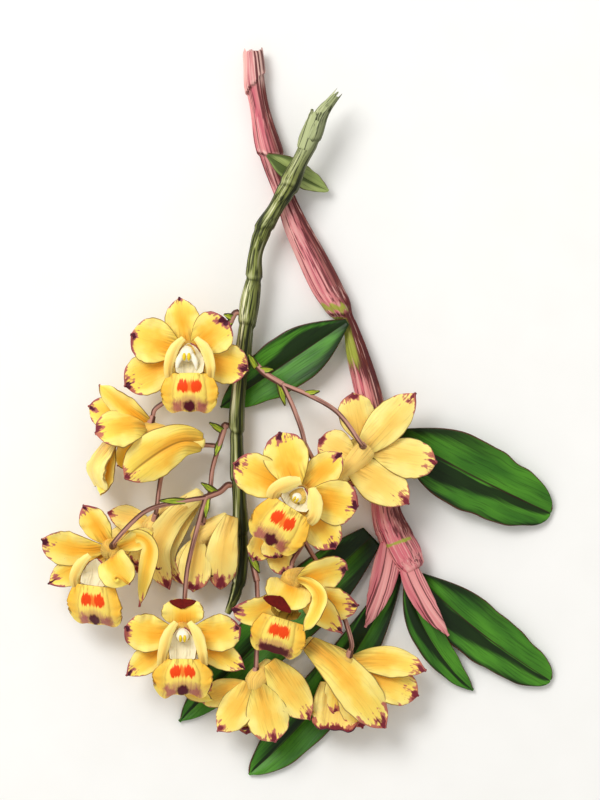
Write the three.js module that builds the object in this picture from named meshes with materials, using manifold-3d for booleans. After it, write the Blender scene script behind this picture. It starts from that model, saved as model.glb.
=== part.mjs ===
// A cutting of a yellow dendrobium orchid, laid flat on a table: a pink leafy cane, a green
// leafless cane that lies across it, five racemes and twelve blooms.
// Millimetres, +Z up. The origin is on the table under the middle of the cutting, +Y runs
// towards the torn upper ends of the canes.
import * as THREE from "three";
import { mergeVertices } from "three/addons/utils/BufferGeometryUtils.js";
import Module from "manifold-3d";

const wasm = await Module();
wasm.setup();

// ---- driving dimensions --------------------------------------------------------------
const PETAL_THICK = 0.7;
const LEAF_THICK = 0.8;
const BRACT_THICK = 0.65;
const GAP = 0.3; // between a piece and what carries it
const TIP_SHARE = 0.1; // width of a blade's tip, as a share of its widest place
const PEDICEL_RADIUS = 0.75;
const PEDICEL_RUN = 1.6; // straight stretch of a pedicel before its bloom
const RACHIS_RADIUS = 1.0;
const OVARY_RADIUS = 1.15;
const LIP_WIDTH = 15.8;
const LIP_REACH = 10.6; // from the mouth of a lip's throat to the end of its lobe
const THROAT_DEPTH = 5.8; // from the column down to that mouth
const EAR_WIDTH = 2.9; // of a lip's erect side lobes
const COLUMN_RADIUS = 2.5;
const CHIN_RADIUS = 3; // the spur at a bloom's back, which all of its pieces grow from
const CHIN_FRONT = 1.3; // how far the spur's mouth stands before the sepals
const FOOT = 2; // how far from the middle of the spur a tepal starts
const LAYER = 0.75; // petals stand this far before the bloom's middle, sepals behind it

const HANGING = [0, -0.35, -1]; // the way the inner faces of a nodding bloom's tepals look

// Outlines of blades: `claw` is the width at the foot and `peak` the place of the widest
// point. A lower `point` makes a blunter tip, and `end` is the least width there.
const PETAL = { claw: 0.24, peak: 0.6, point: 0.5 };
const SEPAL = { claw: 0.36, peak: 0.5, point: 0.8 };
const SPUR = { claw: 0.4, peak: 0.62, point: 0.6 };
const HEART = { claw: 0.22, peak: 0.55, point: 0.2 };
const FLAP = { claw: 0.12, peak: 0.8, point: 0.4 };
const LIP = { claw: 0.5, peak: 0.7, point: 0.12, end: 0.93 };
const WAISTED_LIP = { claw: 0.42, peak: 0.86, point: 0.12, end: 0.93 };
const EAR = { claw: 0.75, peak: 0.55, point: 0.5, end: 0.5 };
const LEAF = { claw: 0.14, peak: 0.42, point: 0.7 };
const LONG_LEAF = { claw: 0.22, peak: 0.64, point: 0.6 };
const BROAD_LEAF = { claw: 0.4, peak: 0.34, point: 0.6 };
const BLUNT_LEAF = { claw: 0.16, peak: 0.42, point: 0.42 };
const SHEATH = { claw: 0.7, peak: 0.3, point: 0.8 };
const BRACT = { claw: 0.8, peak: 0.35, point: 1 };

const COLOURS = {
  petal: { color: 0xf6d24f, roughness: 0.6 },
  leaf: { color: 0x3c7a24, roughness: 0.45 },
  pink: { color: 0xb5616a, roughness: 0.55 },
  green: { color: 0x7d8a4e, roughness: 0.5 },
  stalk: { color: 0x9a6f5e, roughness: 0.55 },
};

// ---- vectors and joins ---------------------------------------------------------------
const vec = (p) => new THREE.Vector3(p[0], p[1], p[2]);
const offset = (p, direction, length) => vec(p).addScaledVector(vec(direction).normalize(), length);

function solidOf(geometry) {
  const bare = new THREE.BufferGeometry()
    .setAttribute("position", geometry.getAttribute("position"))
    .setIndex(geometry.index);
  const merged = mergeVertices(bare, 1e-4);
  return new wasm.Manifold(
    new wasm.Mesh({
      numProp: 3,
      vertProperties: merged.attributes.position.array,
      triVerts: new Uint32Array(merged.index.array),
    }),
  );
}

// What would reach below the table lies on it: a round piece is pressed flat, a blade is
// lifted with both of its faces.
function ontoTable(geometry) {
  const place = geometry.getAttribute("position");
  const otherFace = geometry.userData.isBlade ? place.count / 2 : 0;
  for (let k = 0; k < place.count - otherFace; k++) {
    const lift = Math.max(0, -place.getZ(k), -place.getZ(k + otherFace));
    place.setZ(k, place.getZ(k) + lift);
    if (otherFace) place.setZ(k + otherFace, place.getZ(k + otherFace) + lift);
  }
  return geometry;
}

// One body out of closed geometries that grow into each other.
function join(geometries) {
  const whole = wasm.Manifold.union(geometries.map(ontoTable).map(solidOf)).getMesh();
  return new THREE.BufferGeometry()
    .setAttribute("position", new THREE.BufferAttribute(new Float32Array(whole.vertProperties), 3))
    .setIndex(new THREE.BufferAttribute(new Uint32Array(whole.triVerts), 1));
}

// ---- blades: petals, sepals, lips, leaves and bracts ---------------------------------
function widthShare({ claw, peak, point, end = TIP_SHARE }, u) {
  if (u < peak) return claw + (1 - claw) * Math.sin((Math.PI / 2) * (u / peak));
  const past = (u - peak) / (1 - peak);
  return Math.max((1 - past ** 2) ** point, end);
}

// A closed thin body round the surface that pointAt gives: (u, v) -> { centre, normal }.
function shell(rows, columns, thick, pointAt) {
  const positions = [];
  for (const side of [1, -1]) {
    for (let i = 0; i <= rows; i++) {
      for (let j = 0; j <= columns; j++) {
        const u = 1 - (1 - i / rows) ** 1.4;
        const { centre, normal } = pointAt(u, (2 * j) / columns - 1);
        const p = centre.addScaledVector(normal, (side * thick) / 2);
        positions.push(p.x, p.y, p.z);
      }
    }
  }
  const across = columns + 1;
  const layer = (rows + 1) * across;
  const index = [];
  const quad = (a, b, c, d) => index.push(a, b, c, a, c, d);
  for (let i = 0; i < rows; i++) {
    for (let j = 0; j < columns; j++) {
      const a = i * across + j;
      const corners = [a, a + 1, a + 1 + across, a + across];
      quad(...corners);
      const [e, f, g, h] = corners.map((k) => k + layer);
      index.push(e, g, f, e, h, g);
    }
  }
  const rim = [];
  for (let j = 0; j < columns; j++) rim.push(j);
  for (let i = 0; i < rows; i++) rim.push(i * across + columns);
  for (let j = columns; j > 0; j--) rim.push(rows * across + j);
  for (let i = rows; i > 0; i--) rim.push(i * across);
  rim.forEach((a, k) => {
    const b = rim[(k + 1) % rim.length];
    quad(b, a, a + layer, b + layer);
  });
  const body = new THREE.BufferGeometry()
    .setAttribute("position", new THREE.Float32BufferAttribute(positions, 3))
    .setIndex(index);
  body.userData.isBlade = true;
  return body;
}

// The curve that a blade's midrib follows: through `via` where it is given, else an arc whose
// middle is lifted by `bow` and moved aside by `sway`.
function midrib(start, end, look, { via, bow = 0, sway = 0 }) {
  if (via) return new THREE.CatmullRomCurve3([start, ...via.map(vec), end], false, "centripetal");
  const side = end.clone().sub(start).normalize().cross(look);
  const middle = start.clone().add(end).multiplyScalar(0.5);
  middle.addScaledVector(look, bow).addScaledVector(side, sway);
  const handle = middle.multiplyScalar(2).addScaledVector(start, -0.5).addScaledVector(end, -0.5);
  return new THREE.QuadraticBezierCurve3(start, handle, end);
}

// A blade from its foot to its tip. Its inner face looks towards `facing`; `cup` lifts its
// edges, `fold` gives it a crease along the midrib, `curl` rolls its tip back, `jowl` lets its
// end hang lower at either side and `roundOff` rounds the corners of its end.
function blade(spec) {
  const { from, to, facing, width, outline, thick = PETAL_THICK } = spec;
  const { cup = 0.12, fold = 0, curl = 0, roll = 0, jowl = 0, roundOff = 0 } = spec;
  const { wave = 0, waves = 2, rows = spec.via ? 5 : 4, columns = 2 } = spec;
  const start = vec(from);
  const end = vec(to);
  const along = end.clone().sub(start).normalize();
  const look = vec(facing);
  look.addScaledVector(along, -look.dot(along)).normalize();
  look.applyAxisAngle(along, THREE.MathUtils.degToRad(roll));
  const spine = midrib(start, end, look, spec);
  return shell(rows, columns, thick, (u, v) => {
    const tangent = spine.getTangentAt(u);
    const across = tangent.clone().cross(look).normalize();
    const normal = across.clone().cross(tangent);
    const half = (width / 2) * widthShare(outline, u);
    const rise = cup * v * v * half + fold * Math.abs(v) * half - curl * u ** 4;
    const ripple = wave * v * v * Math.sin(2 * Math.PI * waves * u + v);
    const hang = jowl * Math.exp(-(((Math.abs(v) - 0.62) / 0.24) ** 2)) * u ** 4;
    const centre = spine.getPointAt(u);
    centre.addScaledVector(across, v * half).addScaledVector(normal, rise + ripple);
    centre.addScaledVector(tangent, hang - roundOff * v ** 6 * u ** 4);
    return { centre, normal };
  });
}

// ---- round pieces: canes, stalks, chins and columns ----------------------------------
// A closed tube through stations [x, y, z, radius]. `ribs` raises lengthwise ribs, `tear`
// makes the first end ragged.
function tube(stations, { sides = 6, steps = 8, ribs = 0, ribDepth = 0, tear = 0 } = {}) {
  const path = new THREE.CatmullRomCurve3(stations.map(vec), false, "centripetal");
  const frames = path.computeFrenetFrames(steps, false);
  const positions = [];
  const index = [];
  for (let i = 0; i <= steps; i++) {
    const t = path.getUtoTmapping(i / steps) * (stations.length - 1);
    const k = Math.min(Math.floor(t), stations.length - 2);
    const radius = THREE.MathUtils.lerp(stations[k][3], stations[k + 1][3], t - k);
    const centre = path.getPointAt(i / steps);
    for (let j = 0; j < sides; j++) {
      const angle = (2 * Math.PI * j) / sides;
      const r = radius * (1 + ribDepth * Math.cos(ribs * angle));
      const p = centre.clone();
      p.addScaledVector(frames.normals[i], r * Math.cos(angle));
      p.addScaledVector(frames.binormals[i], r * Math.sin(angle));
      if (i === 0) p.addScaledVector(frames.tangents[0], -tear * (1 + Math.cos(3 * angle + 1)));
      positions.push(p.x, p.y, p.z);
    }
  }
  for (let i = 0; i < steps; i++) {
    for (let j = 0; j < sides; j++) {
      const a = i * sides + j;
      const b = i * sides + ((j + 1) % sides);
      index.push(a, b, b + sides, a, b + sides, a + sides);
    }
  }
  for (let j = 1; j < sides - 1; j++) {
    const last = steps * sides;
    index.push(0, j + 1, j, last, last + j, last + j + 1);
  }
  return new THREE.BufferGeometry()
    .setAttribute("position", new THREE.Float32BufferAttribute(positions, 3))
    .setIndex(index);
}

// ---- canes ---------------------------------------------------------------------------
// Stations [x, y, z, radius] from the torn upper end down.
const LEAFY_CANE = [
  [-12.2, 98.6, 3.6, 2.6],
  [-11.4, 90.0, 3.5, 2.6],
  [-10.4, 84.5, 3.4, 2.5],
  [-8.8, 77.0, 3.4, 3.0],
  [-6.7, 69.5, 3.3, 3.0],
  [-3.5, 60.0, 3.2, 2.6],
  [-0.3, 51.5, 3.3, 3.3],
  [3.9, 43.0, 3.3, 3.9],
  [8.2, 34.5, 3.4, 4.1],
  [11.8, 28.5, 3.5, 3.3],
  [13.4, 25.6, 3.4, 2.5],
  [16.1, 17.5, 3.4, 3.0],
  [18.9, 8.0, 3.5, 3.5],
  [21.2, -2.0, 3.6, 3.8],
  [22.8, -11.5, 3.5, 3.4],
  [23.9, -21.0, 3.5, 3.7],
  [24.8, -28.0, 3.4, 4.0],
  [27.0, -34.0, 3.8, 4.6],
  [29.8, -39.4, 4.1, 4.8],
  [31.8, -42.4, 4.4, 3.6],
];
const FLOWERING_CANE = [
  [10.4, 86.4, 11.4, 1.1],
  [6.9, 81.9, 11.2, 1.8],
  [3.9, 74.8, 10.8, 2.3],
  [0.6, 68.2, 10.3, 2.1],
  [-2.6, 61.5, 9.8, 2.6],
  [-6.0, 55.8, 9.3, 1.9],
  [-9.4, 49.8, 8.8, 2.3],
  [-11.4, 43.2, 8.4, 1.8],
  [-11.9, 36.6, 8.0, 2.1],
  [-12.8, 31.1, 7.7, 2.6],
  [-14.0, 22.8, 7.3, 2.1],
  [-14.8, 16.5, 7.0, 2.3],
  [-15.7, 9.1, 6.7, 2.0],
  [-16.4, 0.8, 6.4, 2.0],
  [-16.5, -7.4, 6.2, 1.8],
  [-16.2, -15.7, 6.0, 1.9],
  [-15.7, -23.9, 5.8, 1.9],
  [-15.4, -33.6, 5.6, 2.0],
  [-15.5, -42.4, 5.5, 1.8],
  [-16.8, -49.5, 5.4, 1.5],
  [-19.0, -54.8, 5.3, 0.8],
];

// The point beside a cane at height y, clear of its side in the given direction.
function besideCane(cane, y, direction, clear = GAP) {
  const k = cane.findIndex((station) => station[1] < y);
  const [above, below] = [cane[k - 1], cane[k]];
  const share = (above[1] - y) / (above[1] - below[1]);
  const at = above.map((value, axis) => THREE.MathUtils.lerp(value, below[axis], share));
  return offset(at, direction, at[3] + clear).toArray();
}

// A pink sheath that has come away from the cane and hangs over the leaves below.
function looseSheath(from, to, width, more) {
  const hanging = { facing: [0, 0, 1], outline: SHEATH, thick: LEAF_THICK, cup: -0.25, rows: 5 };
  return blade({ ...hanging, from, to, width, ...more });
}

function leafyCane() {
  const stem = tube(LEAFY_CANE, { sides: 14, steps: 32, ribs: 7, ribDepth: 0.035, tear: 1 });
  return [
    stem,
    looseSheath([25.6, -35.5, 6.6], [18.7, -58.8, 4.4], 7.4, { sway: -1, bow: 1 }),
    looseSheath([30.2, -41.5, 6.6], [41.6, -61, 5.8], 6.4, { sway: 1.2, bow: 1 }),
  ];
}

function floweringCane() {
  return tube(FLOWERING_CANE, { sides: 9, steps: 35, ribs: 3, ribDepth: 0.04, tear: 1.2 });
}

// ---- leaves --------------------------------------------------------------------------
function leaf({ y, leave, clear = 0.6, ...spec }) {
  const from = besideCane(LEAFY_CANE, y, leave, clear);
  return blade({
    facing: [0, 0, 1],
    outline: LEAF,
    thick: LEAF_THICK,
    cup: 0,
    fold: 0.16,
    wave: 0.35,
    rows: 9,
    ...spec,
    from,
  });
}

// `y` and `leave` say where a leaf grows from the cane and which way, `clear` how far off it
// its blade begins.
const LEAVES = {
  leaf_top_small: {
    y: 70.6,
    leave: [-0.3, 0.05, 1],
    clear: 1.05,
    to: [8.6, 61, 3.4],
    width: 6.8,
    bow: 0.6,
    sway: 0.3,
    rows: 6,
  },
  leaf_upper_left: {
    y: 25.4,
    leave: [0.1, -0.1, 1],
    clear: 0.95,
    to: [-21, 1.6, 1.2],
    width: 15,
    bow: 0.4,
  },
  leaf_right_upper: {
    y: -5.5,
    leave: [1, 0, 0.1],
    clear: 1.9,
    to: [69.6, -27.4, 1],
    width: 20,
    bow: 1.5,
    sway: 0.8,
    outline: BLUNT_LEAF,
  },
  leaf_right_lower: {
    y: -41,
    leave: [0.5, -1, -0.9],
    to: [69.6, -73.4, 1],
    width: 15.4,
    bow: 0.6,
    sway: 1.5,
    outline: BLUNT_LEAF,
  },
  leaf_narrow: {
    y: -41.5,
    leave: [-0.3, -1, -0.2],
    to: [48.4, -76.2, 0.8],
    width: 8.8,
    bow: 1.6,
    sway: 2.8,
  },
  leaf_under_left: {
    y: -31.5,
    leave: [-1, -0.4, -0.3],
    clear: 1.8,
    to: [-32.4, -84.8, 0.8],
    width: 17,
    bow: -0.6,
    outline: BROAD_LEAF,
  },
  leaf_under_right: {
    y: -40.4,
    leave: [-0.9, -1, -0.9],
    to: [-13.2, -99.4, 0.9],
    width: 14.4,
    bow: -0.8,
    sway: -4,
    outline: LONG_LEAF,
  },
};

// ---- blooms --------------------------------------------------------------------------
// `at` is where the column springs. Tips are measured from there, in the cutting's own
// axes. `faces` is the way the bloom looks, `up` the way of its upper sepal.
function sepal(x, y, z, width, more) {
  return { tip: [x, y, z], width, outline: SEPAL, layer: -1, ...more };
}

function petal(x, y, z, width, more) {
  return { tip: [x, y, z], width, outline: PETAL, layer: 1, ...more };
}

// A nodding bloom shows its back: its lip hangs below it, with no side lobes in sight.
function noddingLip(size, shift, faces, up) {
  return { size, shift, whole: true, turned: { faces, up } };
}

// `sides` says which of a lip's erect side lobes show, `depth` how deep its throat is, `reach`
// how long its lobe, and `whole` that the lobe hides the throat.
const BLOOMS = {
  bloom_top: {
    at: [-30, 16.8, 14.5],
    faces: [0, 0, 1],
    up: [0, 1, 0],
    chin: [0.5, -3, -12.5],
    stalk: [4.3, 1.6, -2.4],
    lip: { shift: [0.8, 0, 0] },
    tepals: [
      sepal(-2.2, 14.9, -0.6, 9.8, { curl: 0.8 }),
      petal(-15.4, 4.7, 1, 12.8),
      petal(11.6, 8.2, 1, 12.4),
      sepal(-17.2, -9.6, -1.2, 11.6, { outline: PETAL, curl: 0.8 }),
      sepal(16.9, -5.2, -1.2, 11.4, { outline: PETAL, curl: 0.8 }),
    ],
  },
  bloom_side_left: {
    at: [-40.6, -4.9, 11.5],
    faces: [-0.95, -0.2, 0.25],
    up: [0, 1, 0],
    chin: [14.8, -3.4, -0.6],
    chinWidth: 0.85,
    column: 0.4,
    stalk: [1.2, 4, 0.4],
    lip: {
      size: 0.8,
      shift: [-10.6, -2.4, 0.5],
      whole: true,
      turned: { faces: [-0.9, 0.1, 0.42], up: [0.25, 1, 0] },
    },
    tepals: [
      sepal(-13.4, 12.7, 2.5, 7.6, { facing: [-0.5, -0.3, 1], bow: 1 }),
      petal(-14.4, -0.6, 7, 12.8, { bow: -1.5 }),
      petal(-16.6, 6.8, -4.5, 9, { facing: [-0.4, 0, 1], bow: 1 }),
      sepal(-6.4, -13, 4.4, 13, {
        facing: [0, 0.2, -1],
        foot: [15, -3.2, 0.4],
        outline: SPUR,
        via: [[9.6, -2.7, 2.8], [4.6, -4.8, 3.8], [-0.4, -8.2, 4.4]],
      }),
      sepal(-8.6, -9.6, -5, 8, { facing: [-0.3, 0, 1], outline: PETAL }),
      petal(-13, -17.6, 1.5, 5.4, { foot: [-9.4, -4, 2.5], facing: [-0.5, 0, 1] }),
    ],
  },
  bloom_back_right: {
    at: [18.7, -9.9, 14.6],
    faces: [-0.2, -0.2, -1],
    up: [0.64, 0.77, 0],
    chin: [-8, -9, -0.8],
    stalk: [-1.1, 1.4, 4],
    column: 0.55,
    lip: noddingLip(0.7, [0.9, 0.9, -2], [-0.2, -0.2, -1], [0.7, 0.7, 0]),
    tepals: [
      sepal(13.8, 15.5, -0.6, 10.5, { foot: [-1.5, -0.8, 0.2] }),
      petal(-3.6, 15.6, -0.8, 10.5),
      petal(19.6, -3.6, -1.2, 11.5),
      sepal(11.9, -15, 0.6, 12.4, { foot: [-4.6, -4.6, 0.8], sway: 1 }),
      sepal(-12.8, 2.8, -0.6, 10.5, { foot: [-3, -2, 0.4], outline: PETAL }),
    ],
  },
  bloom_middle: {
    at: [0.6, -22, 22.5],
    faces: [-0.12, -0.15, 1],
    up: [0.54, 0.84, 0],
    chin: [-3.5, 1, -12.5],
    stalk: [0.8, 4.2, -3],
    column: 0.55,
    lip: { size: 1.04, shift: [0.4, 0.2, 0], depth: 0.6, bulge: 0.9, reach: 12.2, ear: 4.2 },
    tepals: [
      sepal(11.6, 11.3, -0.8, 9.4),
      petal(-5.5, 17, 0.4, 12.8),
      petal(16.2, -3.2, 0.4, 13),
      sepal(-18.1, 8.4, -1.4, 12, { outline: PETAL, curl: 0.6 }),
      sepal(9.8, -15, -1.2, 10.8, { outline: PETAL, curl: 0.6 }),
    ],
  },
  bloom_far_left: {
    at: [-50.6, -37.1, 14.5],
    faces: [-0.3, -0.25, 0.9],
    up: [0.05, 1, 0.2],
    chin: [4, 1.5, -6.5],
    stalk: [0.8, 1.6, 4],
    column: 0.35,
    lip: { shift: [-3.2, -4.2, 0], sides: [-1], depth: 0.8, reach: 12 },
    tepals: [
      sepal(-7.7, 12.2, 1, 8.6),
      petal(-19.1, 2.8, 1, 10, { sway: -1.5 }),
      petal(5.2, -9.4, 6, 10.6, { bow: 4.6, roll: -10, rows: 6 }),
      sepal(-17.4, -9.6, -1.5, 8.6, { curl: 0.6 }),
      sepal(7.7, -15.8, -2, 5.2, { via: [[7.4, 4, 2.6], [10.6, 1.4, 2.4], [9.6, -6, 0.6]] }),
      petal(11.4, 4.6, 0.8, 6, { bow: 1 }),
    ],
  },
  bloom_pale_left: {
    at: [-39.4, -31.8, 5],
    faces: [-0.5, -0.75, 0.35],
    up: [-0.6, 0.7, 0.3],
    hangs: true,
    chin: [12.8, 9.4, 0.4],
    chinWidth: 1.15,
    stalk: [0.8, 4.2, 3.8],
    column: 0.5,
    lip: noddingLip(0.65, [0, 0, 0], [-0.2, -0.3, -1], [0.2, 1, 0]),
    tepals: [
      sepal(-12.6, 4.6, -0.6, 7.5),
      petal(-12.8, -5, -1.8, 9),
      petal(-4.6, -12, -1.6, 9),
      sepal(4.4, -16.6, 0, 8, {
        facing: [0.1, 0.1, -1],
        foot: [12.6, 9.2, 1.4],
        outline: SPUR,
        via: [[5, 2.4, 3.8], [0.8, -6.6, 2.6]],
      }),
      sepal(8, -15.2, -3, 5.4, {
        foot: [12.6, 8.2, 0],
        outline: SPUR,
        via: [[6.8, -0.5, 1.6], [3.4, -8, 0]],
      }),
    ],
  },
  bloom_pale_hanging: {
    at: [-26.2, -33.4, 8.6],
    faces: [0.1, -0.85, -0.4],
    up: [-0.2, 0.4, 1],
    hangs: true,
    chin: [7, 4.6, -0.6],
    stalk: [0.6, 3.4, 1.6],
    column: 0.5,
    lip: noddingLip(0.62, [0, -1, -2], [0, -0.2, -1], [0, 1, 0]),
    tepals: [
      sepal(-2.2, -15.6, 0.2, 9.4, { outline: PETAL }),
      sepal(5.2, -15, -2.2, 9.2, { outline: SPUR, foot: [8.4, 5.4, 1.8], via: [[6, -2.6, 3.2]] }),
      petal(-5, -11, -1.6, 7),
      sepal(2.6, -12.6, -5, 8),
    ],
  },
  bloom_lower_left: {
    at: [-31.1, -59.7, 14.5],
    faces: [0, -0.05, 1],
    up: [0, 1, 0],
    chin: [0, -3, -12.5],
    stalk: [0.2, 4, -2.6],
    column: 0.65,
    lip: { size: 1.05, shift: [0, -0.7, 0], bulge: 0.76, reach: 9.6, jowl: 1.7, outline: WAISTED_LIP },
    tepals: [
      sepal(0, 8.2, 1.4, 11.8, { outline: HEART, bow: 1.2, curl: 0.6, jowl: 1.2, columns: 4 }),
      sepal(0, 8.9, 1.2, 7.4, { outline: FLAP, foot: [0, 5.9, 2.2], rows: 3 }),
      petal(-16, 1.4, 0.8, 10.8, { sway: -1 }),
      petal(15.9, 1.4, 0.8, 10.4, { sway: 1 }),
      sepal(-15.6, -12, -2, 8),
      sepal(17, -10.2, -2, 8),
      petal(8.2, -18.8, -5.5, 4.8, {
        foot: [-0.6, -2.6, -5],
        via: [[0, -9, -5.4], [2, -16, -5.7]],
        rows: 5,
      }),
    ],
  },
  bloom_lower_middle: {
    at: [-1.6, -45.4, 19.5],
    faces: [-0.12, -0.5, 0.85],
    up: [0.1, 1, 0.3],
    chin: [6.5, 1.5, -10.5],
    stalk: [0.2, 3.4, -3],
    column: 0.3,
    lip: {
      size: 0.98,
      shift: [-0.9, -7, -3],
      turned: { faces: [-0.1, -0.15, 1], up: [0.3, 1, 0.1] },
      sides: [],
      depth: 0.5,
      jowl: 1.5,
    },
    tepals: [
      sepal(-2.6, -7.6, 5, 13.4, { bow: 3, outline: PETAL, rows: 5 }),
      sepal(-4.2, -7.1, 5.9, 8.8, { outline: FLAP, foot: [-2.6, -4.2, 5.8], rows: 3 }),
      petal(-16.3, -7.8, -0.6, 8.4, { bow: 1.6, sway: -3.4 }),
      petal(15.4, 3, 0.4, 10, { bow: 1.2, sway: -1.5 }),
      sepal(18.6, -6.8, -1.2, 10.4, { outline: PETAL, sway: 2.5 }),
      sepal(14.1, -14.5, -3, 8.5),
      petal(3.4, -13.6, 4, 4.6, {
        foot: [1.2, 0.4, 1.2],
        via: [[5, -0.6, 4.6], [7.8, -4, 6.2], [6.4, -9, 6.2]],
      }),
    ],
  },
  bloom_bottom_left: {
    at: [-11.3, -73.4, 10.4],
    faces: [0.1, -0.8, -0.55],
    up: [0, 0.4, 1],
    hangs: true,
    chin: [3.6, 4.6, -3.9],
    stalk: [0.1, 3.8, 0.8],
    column: 0.4,
    lip: noddingLip(0.7, [0, -1.5, -2], [0, -0.2, -1], [0, 1, 0]),
    tepals: [
      sepal(-10.6, -13.6, -0.4, 10, { sway: 1 }),
      sepal(5.4, -16.6, 0.8, 12, { outline: PETAL }),
      sepal(15, -10.6, -1, 11, { foot: [3.8, 5.6, 1] }),
      petal(-15.6, -5, -4.6, 8),
      petal(-2.6, -14.6, -3.4, 9),
    ],
  },
  bloom_bottom_right: {
    at: [13.6, -68.8, 10.6],
    faces: [0.5, -0.6, -0.6],
    up: [0.9, 0.1, 0.1],
    hangs: true,
    chin: [-10.6, 5.8, -0.8],
    chinWidth: 1.15,
    column: 0.5,
    stalk: [1, 4.2, 3.4],
    lip: noddingLip(0.85, [-2, -4, -2], [0, -0.2, -1], [0.1, 1, 0]),
    tepals: [
      sepal(10.6, -17.3, 0.8, 12, {
        foot: [-10.6, 6.2, 2.4],
        outline: SPUR,
        via: [[-3.4, 0.4, 4], [4.4, -8.6, 3.4]],
      }),
      sepal(21.8, -1.6, 0.4, 9, { sway: 1.4 }),
      petal(19.8, -8.6, -1.8, 11.5),
      petal(4.4, -17.6, -3, 9.5),
      sepal(-3.2, -14, -4.5, 7.5),
    ],
  },
  bloom_behind: {
    at: [-7.6, -31.5, 9.5],
    faces: [0.05, -0.6, 0.8],
    up: [0, 1, 0.3],
    chin: [-0.5, 3, -6],
    stalk: [-2.6, -2.2, -2.4],
    column: 0.3,
    lip: noddingLip(0.42, [1.2, -1, -2], [0, -0.2, -1], [0, 1, 0]),
    tepals: [
      sepal(-4.2, -8.8, 1, 7.4, { outline: PETAL }),
      petal(1.6, -8.2, 1.6, 7),
      sepal(4.6, -13, -1.4, 7.6, { outline: PETAL }),
      petal(1, 7.5, 0, 7.5),
      sepal(8.6, 3, 0, 7),
    ],
  },
};

// The lip and its erect side lobes, in the bloom's own axes: x to its right, y towards the
// upper sepal, z the way it faces.
function lipPieces({ depth = 1, bulge = 0.86, reach = LIP_REACH, ...lip }) {
  const { ear = EAR_WIDTH, sides = [1, -1], jowl = 0.8, outline = LIP, whole = false } = lip;
  const mouth = THROAT_DEPTH * depth;
  const throat = whole ? [[0, -9.4, 4.6], [0, -13, 4]] : [[0, -mouth * 0.6, 1.6], [0, -mouth, 4.4]];
  const along = whole ? [] : [[0, -mouth - 0.3 * reach, 5.2], [0, -mouth - 0.68 * reach, 4.2]];
  const lobe = blade({
    from: [0, -0.8, -0.2],
    via: [...throat, ...along],
    to: [0, -mouth - reach, 1.6],
    facing: [0, 0, 1],
    width: LIP_WIDTH,
    outline,
    cup: -0.16,
    jowl,
    roundOff: 4.6,
    rows: whole ? 4 : 6,
    columns: whole ? 4 : 6,
  });
  const erect = (side) =>
    blade({
      from: [side * 5.4, -7.8 * depth, 3.8],
      via: [[side * 6.4 * bulge, -3.6 * depth, 4.9], [side * 4.6 * bulge, 0.9, 4.6]],
      to: [side * 1.6, 3.6, 3.6],
      facing: [-side * 0.3, 0, 1],
      width: ear,
      outline: EAR,
      rows: 4,
      cup: -0.5,
    });
  return whole ? [lobe] : [lobe, ...sides.map(erect)];
}

function columnPiece(size) {
  const stations = [
    [0, 0.4, -1, COLUMN_RADIUS * 0.8],
    [0, -0.2, 2.6, COLUMN_RADIUS * 0.9],
    [0, -1.3, 4, COLUMN_RADIUS],
    [0, -2.4, 4.4, COLUMN_RADIUS * 0.75],
  ];
  return tube(stations, { sides: 5, steps: 3 }).scale(size, size, size);
}

function bloomAxes({ faces, up }) {
  const z = vec(faces).normalize();
  const y = vec(up).addScaledVector(z, -vec(up).dot(z)).normalize();
  return new THREE.Matrix4().makeBasis(y.clone().cross(z), y, z);
}

// Where a tepal starts: inside the hub, on its tip's side, in the petals' or sepals' layer.
function tepalFoot(tip, layer, faces) {
  const front = vec(faces).normalize();
  const aside = vec(tip).addScaledVector(front, -vec(tip).dot(front)).normalize();
  return aside.multiplyScalar(FOOT).addScaledVector(front, layer * LAYER).toArray();
}

function tepalPieces({ at, faces, hangs, tepals }) {
  const placed = (point) => vec(at).add(vec(point)).toArray();
  return tepals.map(({ tip, foot, via, layer, ...spec }) =>
    blade({
      facing: hangs ? HANGING : faces,
      ...spec,
      via: via?.map(placed),
      from: placed(foot ?? tepalFoot(tip, layer, faces)),
      to: placed(tip),
    }),
  );
}

function chinPiece({ at, faces, chin, chinWidth = 1 }) {
  const radius = CHIN_RADIUS * chinWidth;
  const tip = vec(at).add(vec(chin)).toArray();
  const halfway = vec(at).addScaledVector(vec(chin), 0.5).toArray();
  const stations = [
    [...offset(at, faces, CHIN_FRONT).toArray(), radius],
    [...at, radius],
    [...halfway, radius * 0.9],
    [...tip, radius * 0.62],
  ];
  return tube(stations, { sides: 6, steps: 4 });
}

function bloomPieces(bloom) {
  const { at, stalk, column = 0.8 } = bloom;
  const { size = 1, shift = [0, 0, 0], turned = bloom, ...shape } = bloom.lip ?? {};
  const ovaryEnd = vec(at).add(vec(stalk)).toArray();
  const lipFoot = vec(at).add(vec(shift)).toArray();
  const lip = lipPieces(shape).map((piece) =>
    piece.scale(size, size, size).applyMatrix4(bloomAxes(turned)).translate(...lipFoot),
  );
  const grown = [
    ...tepalPieces(bloom),
    chinPiece(bloom),
    tube([[...at, OVARY_RADIUS], [...ovaryEnd, OVARY_RADIUS]], { sides: 5, steps: 1 }),
    columnPiece(column).applyMatrix4(bloomAxes(bloom)).translate(...at),
    ...lip,
  ];
  if (vec(shift).length() < CHIN_FRONT) return grown;
  return [...grown, tube([[...at, 1.6], [...lipFoot, 1.4]], { sides: 5, steps: 1 })];
}

// ---- racemes -------------------------------------------------------------------------
// A pedicel ends just short of its bloom's ovary and in line with it.
function pedicel(points, { at, stalk }) {
  const beyond = (clear) => vec(at).add(offset(stalk, stalk, clear)).toArray();
  const path = [...points, beyond(GAP + PEDICEL_RUN), beyond(GAP)];
  return tube(path.map((p) => [...p, PEDICEL_RADIUS]), { sides: 5, steps: 5 });
}

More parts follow.
